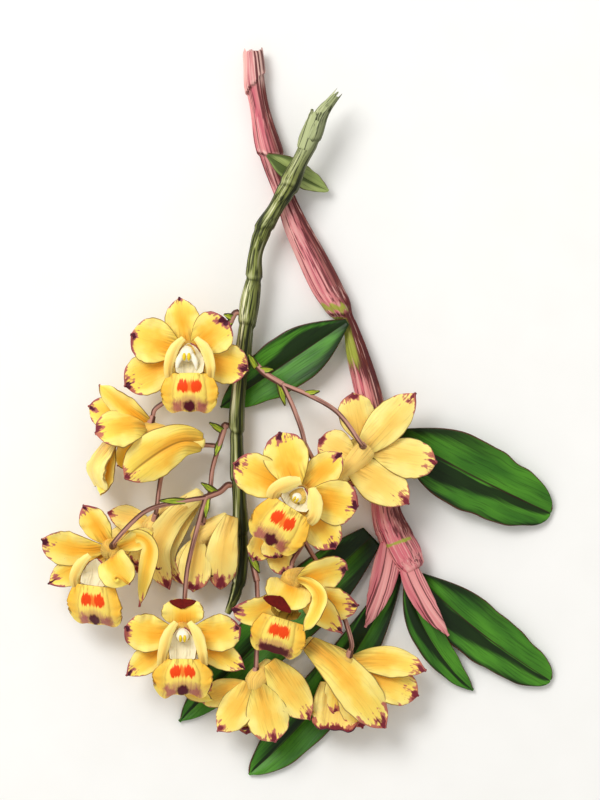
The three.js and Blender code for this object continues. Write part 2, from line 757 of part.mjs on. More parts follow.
function bract(from, to, width) {
  const pointed = { facing: [0, 0, 1], outline: BRACT, thick: BRACT_THICK, cup: 0.3, bow: 0.3, rows: 3 };
  return blade({ ...pointed, from, to, width });
}

const RACEMES = {
  raceme_top: {
    y: 28.5,
    leave: [-1, -0.3, 0],
    rachis: [[-19, 23.5, 7.8], [-24, 17, 8]],
    pedicels: [
      { bloom: "bloom_top", points: [[-24, 17, 8], [-23.4, 18.4, 9.4]] },
      { bloom: "bloom_side_left", points: [[-24, 17, 8], [-25.5, 10.5, 8], [-32, 5.6, 10]] },
    ],
    bracts: [
      [[-18, 25, 7.8], [-20.5, 23.4, 9.6], 1.8],
      [[-17.4, 26, 7.8], [-20, 27, 8.6], 1.8],
    ],
  },
  raceme_right: {
    y: 15,
    leave: [1, -0.4, 0.5],
    rachis: [[-9, 11, 10.4], [-4, 7.8, 12]],
    pedicels: [
      { bloom: "bloom_back_right", points: [[-4, 7.8, 12], [3, 5, 14], [11, 0.2, 17.8]] },
      { bloom: "bloom_middle", points: [[-4, 7.8, 12], [-0.8, 1, 14], [2, -8, 16.5]] },
      {
        bloom: "bloom_lower_middle",
        points: [[2, -8, 16.5], [6, -17, 13.2], [6, -27, 12], [2, -35, 13.2]],
      },
      {
        bloom: "bloom_bottom_right",
        points: [[2, -35, 13.2], [8.5, -46, 11], [12.6, -55, 13]],
      },
    ],
    bracts: [
      [[-11.2, 12.5, 9.7], [-13.2, 16.2, 11.4], 2],
      [[-10, 11.7, 10.1], [-6.4, 11.8, 11.6], 2],
      [[-5, 8.6, 11.8], [-3.2, 2, 11.2], 1.9],
      [[2.2, 5.3, 13.8], [6.2, 6, 14.8], 1.6],
    ],
  },
  raceme_left: {
    y: -4,
    leave: [-1, 0.2, 0],
    rachis: [[-20.2, -5, 7.6], [-21.4, -9, 8.6]],
    pedicels: [
      {
        bloom: "bloom_pale_hanging",
        points: [[-21.4, -9, 8.6], [-23.2, -15.6, 7.4], [-23.8, -21.5, 8.6]],
      },
      {
        bloom: "bloom_pale_left",
        points: [[-21.4, -9, 8.6], [-25.4, -8.8, 5.4], [-32, -9.6, 4.6], [-36.4, -15, 6.4]],
      },
    ],
    bracts: [
      [[-20.2, -5, 7.6], [-24, -2.6, 9.4], 1.9],
      [[-21, -7.6, 8.2], [-22.4, -11.8, 9.8], 1.9],
    ],
  },
  raceme_far_left: {
    y: -19.4,
    leave: [-1, -0.1, 0.5],
    rachis: [[-21, -21.4, 9.6], [-25, -23, 12.4]],
    pedicels: [
      {
        bloom: "bloom_far_left",
        points: [[-25, -23, 12.4], [-31, -24, 14.6], [-41, -26.6, 17.4]],
      },
      {
        bloom: "bloom_lower_left",
        points: [[-25, -23, 12.4], [-27.4, -32, 12.8], [-30, -43, 12]],
      },
    ],
    bracts: [
      [[-22, -21.8, 10.3], [-26.2, -19, 12.4], 2],
      [[-30.4, -24, 14.5], [-37.6, -23.8, 16.8], 1.9],
      [[-24.4, -23, 12], [-25, -28.6, 12.6], 1.8],
    ],
  },
  raceme_low: {
    y: -36.5,
    leave: [1, -0.3, -0.2],
    rachis: [[-12.2, -40.2, 5.6], [-11, -46, 7.2]],
    pedicels: [
      { bloom: "bloom_bottom_left", points: [[-11, -46, 7.2], [-10.6, -56, 8.6]] },
      { bloom: "bloom_behind", points: [[-12.2, -40.2, 5.6], [-12.4, -37, 5.8]] },
    ],
    bracts: [
      [[-12.6, -39.2, 5.4], [-10.2, -43.8, 7.6], 2.2],
    ],
  },
};

function racemePieces({ y, leave, rachis, pedicels, bracts }) {
  const foot = besideCane(FLOWERING_CANE, y, leave, 2 * GAP);
  const outside = offset(foot, leave, RACHIS_RADIUS).toArray();
  const main = tube([foot, outside, ...rachis].map((p) => [...p, RACHIS_RADIUS]), { sides: 6, steps: 5 });
  const stalks = pedicels.map(({ points, bloom }) => pedicel(points, BLOOMS[bloom]));
  return [main, ...stalks, ...bracts.map((points) => bract(...points))];
}

// ---- the cutting ---------------------------------------------------------------------
const cutting = new THREE.Group();

function add(name, pieces, colour) {
  const material = new THREE.MeshStandardMaterial({ metalness: 0, ...COLOURS[colour] });
  const mesh = new THREE.Mesh(join(pieces), material);
  mesh.name = name;
  cutting.add(mesh);
}

add("cane_leafy", leafyCane(), "pink");
add("cane_flowering", [floweringCane()], "green");
for (const [name, spec] of Object.entries(LEAVES)) add(name, [leaf(spec)], "leaf");
for (const [name, spec] of Object.entries(RACEMES)) add(name, racemePieces(spec), "stalk");
for (const [name, spec] of Object.entries(BLOOMS)) add(name, bloomPieces(spec), "petal");

export default cutting;
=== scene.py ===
"""A cutting of a yellow dendrobium orchid, laid on a table.

Two canes lie across each other: a pink one in its sheaths, with seven leaves, and a leafless
green one that carries five sprays and twelve blooms. Sizes are in millimetres, in the frame
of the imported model: the origin is on the table under the middle of the cutting, +Y runs
towards the torn upper ends of the canes, and +Z is up.
"""

import logging
from dataclasses import dataclass, field, replace
from enum import Enum
from typing import Callable

import bpy
import numpy as np
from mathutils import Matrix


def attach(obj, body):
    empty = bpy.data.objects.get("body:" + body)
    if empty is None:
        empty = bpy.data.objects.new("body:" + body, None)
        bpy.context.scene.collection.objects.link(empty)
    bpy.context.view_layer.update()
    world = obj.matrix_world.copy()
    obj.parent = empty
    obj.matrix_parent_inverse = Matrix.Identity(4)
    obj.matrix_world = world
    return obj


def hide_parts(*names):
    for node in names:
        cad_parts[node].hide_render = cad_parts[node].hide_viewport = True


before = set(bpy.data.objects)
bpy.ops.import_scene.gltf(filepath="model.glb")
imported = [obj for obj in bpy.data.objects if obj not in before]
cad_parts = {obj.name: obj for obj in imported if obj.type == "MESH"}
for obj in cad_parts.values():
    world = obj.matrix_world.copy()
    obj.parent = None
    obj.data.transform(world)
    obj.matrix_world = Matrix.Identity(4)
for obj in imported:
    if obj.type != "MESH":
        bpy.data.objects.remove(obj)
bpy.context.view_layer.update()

log = logging.getLogger("cutting")

MM = 0.001
PETAL_THICK = 0.55
LEAF_THICK = 0.7
BRACT_THICK = 0.5
GAP = 0.3
PEDICEL_RADIUS = 0.66
PEDICEL_RUN = 1.6
RACHIS_RADIUS = 0.9
OVARY_RADIUS = 1.1
CHIN_RADIUS = 3.0
CHIN_FRONT = 1.3
FOOT = 2.0
LAYER = 0.75
HANGING = (0.0, -0.35, -1.0)
SCROLL_RADIUS = 0.42
LOBE_WIDTH = 15.8
LOBE_TOP = 5.8
THROAT_WIDTH = 10.0
ARMS_FROM = 0.75
RIM_SHARE = 0.75
PETAL_GLOW = (0.1, (1.0, 0.5, 0.12))
UP = (0, 0, 1)
POINTED_TIP = 0.24
TISSUE_WAVE = 0.45

Point = tuple[float, float, float]
Points = tuple[Point, ...]
Station = tuple[float, float, float, float]
Pair = tuple[float, float]
Relief = Callable[[np.ndarray, np.ndarray], np.ndarray]
Piece = bpy.types.Object
Material = bpy.types.Material
Socket = bpy.types.NodeSocket


# ---- vectors and curves ------------------------------------------------------------------
def vec(point: Point) -> np.ndarray:
    """A point or direction as an array."""
    return np.asarray(point, float)


def unit(direction: np.ndarray) -> np.ndarray:
    """The same direction, or directions, one long."""
    return direction / np.maximum(np.linalg.norm(direction, axis=-1, keepdims=True), 1e-9)


def smooth(value: np.ndarray, low: float, high: float) -> np.ndarray:
    """An even rise from 0 at low to 1 at high."""
    share = np.clip((value - low) / (high - low), 0.0, 1.0)
    return share * share * (3 - 2 * share)


def between(value: np.ndarray, *ends: float) -> np.ndarray:
    """A rise from 0 to 1 between the first two ends, and a fall back between the last two."""
    return smooth(value, *ends[:2]) * (1 - smooth(value, *ends[2:]))


def bump(value: np.ndarray, centre: float, reach: float) -> np.ndarray:
    """A soft bump that is 1 at centre and fades over reach."""
    return np.exp(-(((value - centre) / reach) ** 2))


class Spine:
    """A smooth curve through points, walked by its share of length."""

    SAMPLES = 24
    LOOK = 0.01

    def __init__(self, points: np.ndarray) -> None:
        """Lay the curve through points with three or more columns, the first three its place."""
        ends = [2 * points[0] - points[1], *points, 2 * points[-1] - points[-2]]
        steps = np.linspace(0, 1, self.SAMPLES, endpoint=False)[:, None]
        runs = [self._run(*ends[k : k + 4], steps) for k in range(len(points) - 1)]
        self.walk = np.vstack([*runs, points[-1:]])
        gaps = np.linalg.norm(np.diff(self.walk[:, :3], axis=0), axis=1)
        self.far = np.concatenate([[0.0], np.cumsum(gaps)])
        self.length = float(self.far[-1])

    @staticmethod
    def _run(a: np.ndarray, b: np.ndarray, c: np.ndarray, d: np.ndarray, t: np.ndarray) -> np.ndarray:
        """One stretch of a centripetal curve, from b to c."""
        first, mid, last = (
            max(float(np.linalg.norm((q - p)[:3])) ** 0.5, 1e-4) for p, q in ((a, b), (b, c), (c, d))
        )
        out = ((b - a) / first - (c - a) / (first + mid) + (c - b) / mid) * mid
        into = ((c - b) / mid - (d - b) / (mid + last) + (d - c) / last) * mid
        cube = 2 * b - 2 * c + out + into
        square = -3 * b + 3 * c - 2 * out - into
        return b + t * (out + t * (square + t * cube))

    def at(self, share: np.ndarray) -> np.ndarray:
        """The curve's columns at each share of its length, 0 to 1."""
        far = share * self.length
        return np.stack([np.interp(far, self.far, column) for column in self.walk.T], axis=-1)

    def tangent(self, share: np.ndarray) -> np.ndarray:
        """The way the curve runs at each share of its length."""
        ahead = self.at(np.minimum(share + self.LOOK, 1.0))[..., :3]
        behind = self.at(np.maximum(share - self.LOOK, 0.0))[..., :3]
        return unit(ahead - behind)


# ---- making meshes -----------------------------------------------------------------------
def select_only(pieces: list[Piece]) -> None:
    """Select these pieces alone, and make the first one active."""
    bpy.ops.object.select_all(action="DESELECT")
    for piece in pieces:
        piece.select_set(True)
    bpy.context.view_layer.objects.active = pieces[0]


def join(pieces: list[Piece], name: str) -> Piece:
    """Make one object out of several.

    Args:
        pieces: the objects, whose meshes are all taken into the first.
        name: what the whole is called.

    Returns:
        The whole.
    """
    select_only(pieces)
    if len(pieces) > 1:
        bpy.ops.object.join()
    whole = bpy.context.object
    whole.name = name
    whole.data.name = name
    return whole


def apply_modifier(piece: Piece, kind: str, **settings: object) -> None:
    """Put a modifier on a piece and apply it at once."""
    select_only([piece])
    modifier = piece.modifiers.new(kind.title(), kind)
    for key, value in settings.items():
        setattr(modifier, key, value)
    bpy.ops.object.modifier_apply(modifier=modifier.name)


def points_of(piece: Piece) -> np.ndarray:
    """A piece's points, in metres."""
    flat = np.empty(len(piece.data.vertices) * 3)
    piece.data.vertices.foreach_get("co", flat)
    return flat.reshape(-1, 3)


def move_points(piece: Piece, places: np.ndarray) -> None:
    """Move a piece's points to places given in metres."""
    piece.data.vertices.foreach_set("co", places.ravel())
    piece.data.update()


def add_grid(name: str, columns: int, rows: int) -> tuple[Piece, np.ndarray, np.ndarray]:
    """Add a flat grid to be shaped.

    Args:
        name: the new object's name.
        columns: faces across.
        rows: faces along.

    Returns:
        The object, and each of its points' place across (-1 to 1) and along (0 to 1).
    """
    bpy.ops.object.select_all(action="DESELECT")
    bpy.ops.mesh.primitive_grid_add(x_subdivisions=columns, y_subdivisions=rows, size=2)
    piece = bpy.context.object
    piece.name = name
    across, far, _ = points_of(piece).T
    return piece, across.copy(), (far + 1) / 2


def set_attribute(piece: Piece, name: str, values: np.ndarray) -> None:
    """Give each point a vector of three numbers that finishes read."""
    layer = piece.data.attributes.new(name, "FLOAT_VECTOR", "POINT")
    layer.data.foreach_set("vector", np.ascontiguousarray(values, np.float32).ravel())


def set_uv(piece: Piece, across: np.ndarray, along: np.ndarray) -> None:
    """Lay the piece's UV map by each point's own place across and along."""
    mesh = piece.data
    corners = np.empty(len(mesh.loops), np.int32)
    mesh.loops.foreach_get("vertex_index", corners)
    places = np.stack([across[corners], along[corners]], axis=-1)
    mesh.uv_layers.active.data.foreach_set("uv", places.astype(np.float32).ravel())


class Outline(Enum):
    """How a blade's width runs: at its foot, where it is widest, how blunt its end, and its tip."""

    PETAL = (0.22, 0.58, 0.46, 0.1)
    SEPAL = (0.34, 0.5, 0.66, 0.08)
    SPUR = (0.4, 0.62, 0.6, 0.05)
    HEART = (0.22, 0.55, 0.2, 0.0)
    LIP = (0.76, 0.55, 0.12, 0.0)
    WAISTED_LIP = (0.56, 0.5, 0.12, 0.0)
    FLAP = (0.06, 0.8, 0.4, 0.0)
    THROAT = (0.9, 0.4, 0.5, 0.0)
    EAR = (0.75, 0.55, 0.5, 0.0)
    LEAF = (0.12, 0.42, 0.7, 0.02)
    LONG_LEAF = (0.22, 0.64, 0.6, 0.02)
    BROAD_LEAF = (0.4, 0.34, 0.6, 0.02)
    BLUNT_LEAF = (0.14, 0.42, 0.42, 0.0)
    SHEATH = (0.7, 0.3, 0.8, 0.05)
    BRACT = (0.8, 0.35, 1.0, 0.0)

    def share(self, u: np.ndarray, end: float) -> np.ndarray:
        """The share of full width at each place along, never less than end."""
        claw, peak, blunt, point = self.value
        rise = claw + (1 - claw) * np.sin(np.pi / 2 * np.clip(u / peak, 0, 1))
        past = np.clip((u - peak) / (1 - peak), 0, 1)
        body = np.clip(1 - (past / (1 - point)) ** 2, 0, 1) ** blunt
        tip = POINTED_TIP * (1 - past) ** 0.7 * (point > 0)
        return np.where(u < peak, rise, np.maximum(np.maximum(body, tip), end))


@dataclass(frozen=True)
class Blade:
    """A petal, sepal, lip, leaf or bract: a thin sheet along a curve.

    Its inner face looks towards `facing`, turned about its length by `roll`. `bow` lifts its
    middle that way and `sway` moves it to the side, `cup` lifts its edges, `fold` creases it
    along the midrib and `folds` along both sides, `groove` sinks the midrib, `curl` rolls the
    tip back, and `wave` and `frill` ripple the edges. `lobes` notches the end, `jowl` lets
    its sides hang, `round_off` draws its corners in and `end` is the least share of its
    width. `seed` varies the ripples and the grain, and `tone` and `crease` go to the finish,
    which paints `crease` as a line of shade along the midrib.
    The midrib is a plain bow unless `via` gives points for it to pass.
    """

    foot: Point
    tip: Point
    facing: Point
    width: float
    outline: Outline
    via: Points = ()
    bow: float = 0.0
    sway: float = 0.0
    cup: float = 0.12
    fold: float = 0.0
    curl: float = 0.0
    roll: float = 0.0
    wave: float = 0.25
    waves: float = 2.2
    lobes: float = 0.0
    jowl: float = 0.0
    round_off: float = 0.0
    frill: float = 0.03
    end: float = 0.02
    groove: float = 0.12
    folds: tuple[float, float] = (0.0, 0.0)
    seed: float = 0.0
    tone: Point = (0.16, 0.0, 0.0)
    crease: float = 0.0
    rows: int = 20
    columns: int = 12

    BUNCHING = 1.5
    CURVE_POINTS = 9
    RIB_REACH = 0.09
    FOLD_REACH = 0.1
    SWELL = 0.12
    JOWL_PLACE = 0.64
    JOWL_REACH = 0.27

    def _frame(self) -> tuple[Spine, np.ndarray]:
        """The blade's midrib, and the way its inner face looks."""
        foot, tip = vec(self.foot), vec(self.tip)
        along = unit(tip - foot)
        look = vec(self.facing)
        look = unit(look - along * look.dot(along))
        turn = np.radians(self.roll)
        look = look * np.cos(turn) + np.cross(along, look) * np.sin(turn)
        side = np.cross(along, look)
        if self.via:
            return Spine(np.array([foot, *map(vec, self.via), tip])), look
        middle = (foot + tip) / 2 + look * self.bow + side * self.sway
        handle = 2 * middle - foot / 2 - tip / 2
        t = np.linspace(0, 1, self.CURVE_POINTS)[:, None]
        return Spine((1 - t) ** 2 * foot + 2 * t * (1 - t) * handle + t**2 * tip), look

    def _places(self, u: np.ndarray, v: np.ndarray) -> np.ndarray:
        """Where each point of the sheet lies, from its place along and across."""
        spine, look = self._frame()
        tangent = spine.tangent(u)
        across = unit(np.cross(tangent, look))
        normal = np.cross(across, tangent)
        half = self.width / 2 * self.outline.share(u, self.end)
        edge = np.abs(v)
        rise = (self.cup * v**2 + self.fold * edge) * half - self.curl * u**4
        rise = rise - self.groove * bump(v, 0, self.RIB_REACH) * between(u, 0, 0.15, 0.8, 1)
        beat = 2 * np.pi * self.waves * u
        ripple = np.sin(beat + self.seed + 1.7 * np.sign(v)) + 0.5 * np.sin(2.3 * beat - self.seed)
        rise = rise + self.wave * edge**3 * ripple * smooth(u, 0.1, 0.5)
        swell = np.sin(5 * u + 3 * v + self.seed) * np.sin(4 * v - 3 * u + 2 * self.seed)
        rise = rise + self.SWELL * swell
        place, depth = self.folds
        rise = rise - depth * bump(edge, place, self.FOLD_REACH) * between(u, 0.05, 0.3, 0.8, 1)
        dents = np.where(edge < 2 / 3, (np.cos(3 * np.pi * v) - 1) / 2, 0.0)
        hang = self.jowl * bump(edge, self.JOWL_PLACE, self.JOWL_REACH) * u**4
        notch = self.lobes * dents * u**8 + hang - self.round_off * edge**12 * u**2
        scallop = np.sin(2.9 * beat + 2 * self.seed + v) + 0.6 * np.sin(5.1 * beat - self.seed * v)
        frill = 1 + self.frill * scallop * smooth(u, 0.3, 0.7)
        place = spine.at(u) + across * (v * half * frill)[:, None]
        return place + normal * rise[:, None] + tangent * notch[:, None]

    def build(self, name: str, *finishes: Material) -> Piece:
        """Make the sheet, with no thickness yet.

        Args:
            name: the new object's name.
            finishes: the inner face's finish, then the outer face's.

        Returns:
            The sheet.
        """
        piece, v, s = add_grid(name, self.columns, self.rows)
        u = 1 - (1 - s) ** self.BUNCHING
        move_points(piece, self._places(u, v) * MM)
        set_uv(piece, (v + 1) / 2, u)
        length = float(np.linalg.norm(vec(self.tip) - vec(self.foot)))
        half = self.width / 2 * self.outline.share(u, self.end)
        set_attribute(piece, "grain", np.stack([v * half, 0 * u + 7 * self.seed, u * length], -1))
        set_attribute(piece, "tone", np.tile(self.tone, (len(u), 1)))
        set_attribute(piece, "crease", np.full((len(u), 3), self.crease))
        for finish in finishes:
            piece.data.materials.append(finish)
        return piece


@dataclass(frozen=True)
class Tube:
    """A round piece through stations (x, y, z, radius), closed at both ends."""

    stations: tuple[Station, ...]
    sides: int = 16
    rings: int = 24
    blunt: float = 0.35
    tear: float = 0.0

    CAP_RINGS = 3
    TORN_RUN = 4.0
    WELD = 1e-6
    STEEP = 0.75

    def build(self, name: str, finish: Material, relief: Relief | None = None) -> Piece:
        """Make the tube from a rolled-up grid.

        Args:
            name: the new object's name.
            finish: its material.
            relief: gives each point's rise in mm from its angle and its height along the cutting.

        Returns:
            The tube.
        """
        spine = Spine(np.array(self.stations, float))
        piece, v, s = add_grid(name, self.sides, self.rings)
        angle = np.pi * (v + 1)
        caps = self.CAP_RINGS / self.rings
        u = np.clip((s - caps) / (1 - 2 * caps), 0, 1)
        close = np.clip(np.minimum(s, 1 - s) / caps, 0, 1)
        place = spine.at(u)
        tangent = spine.tangent(u)
        side = unit(np.cross(tangent, self._reference(spine)))
        top = np.cross(side, tangent)
        rise = relief(angle, place[:, 1]) if relief else 0.0
        radius = (place[:, 3] + rise) * np.sqrt(1 - (1 - close) ** 2)
        out = -top * np.cos(angle)[:, None] + side * np.sin(angle)[:, None]
        lift = -self.blunt * place[:, 3] * (1 - close) * np.where(s < 0.5, 1, -1)
        ragged = np.sin(3 * angle + 1) + 0.6 * np.sin(7 * angle) + 0.4 * np.sin(12 * angle + 2)
        torn = (1 - smooth(u * spine.length, 0, self.TORN_RUN)) * (close > 0.5)
        lift = lift - self.tear * ragged * torn
        places = place[:, :3] + out * radius[:, None] + tangent * lift[:, None]
        move_points(piece, places * MM)
        set_uv(piece, (v + 1) / 2, u)
        girth = [place[:, 3] * np.cos(angle), place[:, 3] * np.sin(angle)]
        set_attribute(piece, "grain", np.stack([*girth, u * spine.length], -1))
        set_attribute(piece, "tone", np.zeros((len(u), 3)))
        piece.data.materials.append(finish)
        select_only([piece])
        bpy.ops.object.mode_set(mode="EDIT")
        bpy.ops.mesh.select_all(action="SELECT")
        bpy.ops.mesh.remove_doubles(threshold=self.WELD)
        bpy.ops.mesh.normals_make_consistent(inside=False)
        bpy.ops.object.mode_set(mode="OBJECT")
        return piece

    def _reference(self, spine: Spine) -> np.ndarray:
        """A direction that the tube never runs along, from which its angles are counted."""
        run = np.abs(unit(spine.walk[-1, :3] - spine.walk[0, :3]))
        return np.array([0.0, 1.0, 0.0]) if run[2] > self.STEEP else np.array([0.0, 0.0, 1.0])


def onto_table(piece: Piece) -> None:
    """Lift what would reach below the table onto it."""
    places = points_of(piece)
    places[:, 2] = np.maximum(places[:, 2], 0.0)
    move_points(piece, places)


def thicken(piece: Piece, thick: float, outer: int = 0, rim: int = 0) -> None:
    """Give a sheet its thickness and soft edges.

    Args:
        piece: the sheet, its normals towards its inner face.
        thick: its thickness in mm.
        outer: how far down the material list the outer face's finish is.
        rim: how far down the list its edge's finish is.
    """
    finishes = {"material_offset": outer, "material_offset_rim": rim}
    apply_modifier(piece, "SOLIDIFY", thickness=thick * MM, offset=0.0, **finishes)
    apply_modifier(piece, "SUBSURF", levels=1, render_levels=1)
    select_only([piece])
    bpy.ops.object.shade_smooth()


def hand_over(piece: Piece, node: str) -> None:
    """Let a finished piece stand for its node in the frame."""
    select_only([piece])
    bpy.ops.object.shade_smooth()
    onto_table(piece)
    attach(piece, "root")
    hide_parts(node)
    log.info("%s: %d faces", piece.name, len(piece.data.polygons))


# ---- finishes ----------------------------------------------------------------------------
def paint(code: str) -> tuple[float, float, float, float]:
    """A colour as the shader takes it, from its six-digit code."""
    parts = [int(code[k : k + 2], 16) / 255 for k in (0, 2, 4)]
    return (*(((p + 0.055) / 1.055) ** 2.4 if p > 0.04045 else p / 12.92 for p in parts), 1.0)


class Board:
    """Lays out the nodes of one material."""

    SPECULAR = 0.2
    GLOW_SCALE = 0.0015
    MIX_SHARE, MIX_FIRST, MIX_SECOND, MIX_RESULT = 0, 6, 7, 2

    def __init__(self, name: str, roughness: float) -> None:
        """Start a material with a plain skin."""
        self.material = bpy.data.materials.new(name)
        self.material.use_nodes = True
        self.tree = self.material.node_tree
        self.skin = self.tree.nodes["Principled BSDF"]
        self.set(self.skin, Roughness=roughness, Specular_IOR_Level=self.SPECULAR)

    @staticmethod
    def set(node: bpy.types.Node, **values: object) -> None:
        """Set a node's inputs by their names, with _ for a space."""
        for key, value in values.items():
            node.inputs[key.replace("_", " ")].default_value = value

    def node(self, kind: str, *given: object, **settings: object) -> bpy.types.Node:
        """Add a node, link or set its first inputs, and set its properties."""
        node = self.tree.nodes.new(kind)
        for key, value in settings.items():
            setattr(node, key, value)
        for socket, value in zip(node.inputs, given):
            self.feed(socket, value)
        return node

    def feed(self, socket: Socket, value: object) -> None:
        """Link a socket to another one, or set it to a value."""
        if isinstance(value, Socket):
            self.tree.links.new(value, socket)
        else:
            socket.default_value = value

    def sum(self, operation: str, *given: object) -> Socket:
        """The result of one piece of arithmetic."""
        return self.node("ShaderNodeMath", *given, operation=operation).outputs[0]

    def line(self, value: object, slope: float, start: object) -> Socket:
        """A value times slope, plus start."""
        return self.sum("MULTIPLY_ADD", value, slope, start)

    def product(self, *shares: object) -> Socket:
        """Several shares multiplied together."""
        whole = shares[0]
        for share in shares[1:]:
            whole = self.sum("MULTIPLY", whole, share)
        return whole

    def apart(self, value: object, other: object) -> Socket:
        """How far two values are from each other."""
        return self.sum("ABSOLUTE", self.sum("SUBTRACT", value, other))

    def round(self, first: object, second: object) -> Socket:
        """The square of the distance that two lengths at a right angle give."""
        return self.sum("ADD", *(self.sum("POWER", length, 2.0) for length in (first, second)))

    def reach(self, place: tuple[Socket, Socket], centre: Pair, size: Pair) -> Socket:
        """How far a place is from a patch's centre, where 1 is the patch's edge.

        Args:
            place: how far aside from the midrib and how far along the place is.
            centre: the same for the patch's centre.
            size: the patch's half width and half height.

        Returns:
            The distance.
        """
        parts = [self.sum("DIVIDE", self.apart(p, c), r) for p, c, r in zip(place, centre, size)]
        return self.sum("SQRT", self.round(*parts))

    def step(self, value: object, low: float, high: float) -> Socket:
        """A smooth rise from 0 at low to 1 at high, which may fall."""
        node = self.node("ShaderNodeMapRange", value, interpolation_type="SMOOTHSTEP")
        falls = low > high
        self.set(node, From_Min=min(low, high), From_Max=max(low, high))
        self.set(node, To_Min=float(falls), To_Max=float(not falls))
        return node.outputs[0]

    def washes(self, colour: object, *layers: tuple) -> Socket:
        """A colour with washes over it.

        Args:
            colour: the ground, a code or a socket.
            layers: for each wash its code, and the shares whose product is its strength.

        Returns:
            The colour that comes of it.
        """
        colour = paint(colour) if isinstance(colour, str) else colour
        for code, *shares in layers:
            node = self.node("ShaderNodeMix", data_type="RGBA")
            self.feed(node.inputs[self.MIX_SHARE], self.product(*shares))
            self.feed(node.inputs[self.MIX_FIRST], colour)
            self.feed(node.inputs[self.MIX_SECOND], paint(code))
            colour = node.outputs[self.MIX_RESULT]
        return colour

    def uv(self) -> tuple[Socket, Socket, Socket]:
        """A sheet's place across, -1 to 1, how far that is aside, and its place along, 0 to 1."""
        parts = self.parts(self.node("ShaderNodeUVMap").outputs[0])
        across = self.line(parts[0], 2.0, -1.0)
        return across, self.sum("ABSOLUTE", across), parts[1]

    def attribute(self, name: str) -> list[Socket]:
        """The three numbers of a vector that the mesh carries."""
        return self.parts(self.node("ShaderNodeAttribute", attribute_name=name).outputs["Vector"])

    def parts(self, vector: Socket) -> list[Socket]:
        """A vector's three numbers."""
        return list(self.node("ShaderNodeSeparateXYZ", vector).outputs)

    def noise(self, across: float, along: float, detail: float = 3.0) -> Socket:
        """Streaky noise, 0 to 1, with so many features to the mm across and along the grain."""
        grain = self.node("ShaderNodeAttribute", attribute_name="grain").outputs["Vector"]
        place = self.node("ShaderNodeMapping", grain)
        self.set(place, Scale=(across, across, along))
        node = self.node("ShaderNodeTexNoise", place.outputs[0])
        self.set(node, Scale=1.0, Detail=detail)
        return node.outputs[0]

    def relief(self, height: Socket, depth: float) -> None:
        """Raise the surface where height is high, by depth in mm."""
        node = self.node("ShaderNodeBump")
        self.set(node, Strength=1.0, Distance=depth * MM)
        self.feed(node.inputs["Height"], height)
        self.feed(self.skin.inputs["Normal"], node.outputs[0])

    def glow(self, weight: float, reach: Point) -> None:
        """Let light through the tissue."""
        self.set(self.skin, Subsurface_Weight=weight, Subsurface_Radius=reach)
        self.set(self.skin, Subsurface_Scale=self.GLOW_SCALE)

    def done(self, colour: Socket) -> Material:
        """Give the skin its colour and hand the material over."""
        self.feed(self.skin.inputs["Base Color"], colour)
        return self.material


@dataclass(frozen=True)
class PetalFinish:
    """Yellow tissue with a golden heart, fine veins, a mauve and maroon tip, and painted shade
    at its foot.

    The mesh's own tone says how far the tip's mark reaches, to which side it leans, and how
    pale the tissue is. A second attribute says how dark the painted shade along the midrib is.
    """

    name: str
    edge: str = "ffe362"
    heart: str = "f9a91c"
    pale: str = "ffe993"
    shade: str = "8a5f12"
    mauve: str = "b04e5c"
    maroon: str = "4c0a24"
    rim: str = "74500e"
    heart_share: float = 0.86
    vein_share: float = 0.08
    foot_shade_share: float = 0.5

    def make(self) -> Material:
        """Build the material."""
        board = Board(self.name, 0.5)
        step = board.step
        across, aside, along = board.uv()
        size, lean, pale = board.attribute("tone")
        crease = board.attribute("crease")[0]
        strokes = board.noise(2.2, 0.14)
        cloud = board.noise(0.24, 0.18, 2.0)
        spread = board.line(cloud, 0.9, board.product(aside, 0.8))
        heart = (step(along, 1.0, 0.42), step(spread, 1.2, 0.45), self.heart_share)
        ground = board.washes(
            self.edge,
            (self.pale, pale),
            (self.heart, *heart, board.line(pale, -0.75, 1.0)),
            (self.pale, step(spread, 0.75, 1.15), step(along, 0.1, 0.5), 0.55),
            (self.shade, step(strokes, 0.5, 0.7), self.vein_share),
            # painted shade: a soft dark glow and hatched strokes at the petal's foot
            (self.shade, step(along, 0.32, 0.0), step(cloud, 0.3, 0.6), 0.45),
            (self.shade, step(along, 0.46, 0.1), step(strokes, 0.44, 0.64), self.foot_shade_share),
            # painted shade along the midrib crease
            (self.shade, step(aside, 0.1, 0.0), crease),
            (self.rim, step(aside, 0.93, 0.99), RIM_SHARE),
        )

        past = board.sum("SUBTRACT", along, board.sum("SUBTRACT", 1.0, size))
        tipness = board.sum("DIVIDE", past, board.sum("ADD", size, 0.001))
        off = board.apart(across, lean)
        ragged = board.line(strokes, 1.2, board.line(board.noise(0.75, 0.5, 2.0), 2.2, -1.7))
        margin = board.product(step(aside, 0.72, 0.98), step(tipness, -0.5, 0.1), 0.55)
        reach = board.sum("ADD", board.line(off, -0.4, tipness), board.sum("ADD", ragged, margin))
        dark = board.line(ragged, 0.4, board.line(off, -0.62, tipness))
        there = step(size, 0.0, 0.05)
        colour = board.washes(
            ground,
            (self.mauve, step(reach, 0.12, 0.42), there, 0.92),
            (self.maroon, step(dark, 0.32, 0.5), there),
        )
        board.relief(board.noise(2.2, 0.2, 4.0), 0.12)
        board.glow(*PETAL_GLOW)
        board.set(board.skin, Sheen_Weight=0.1)
        return board.done(colour)


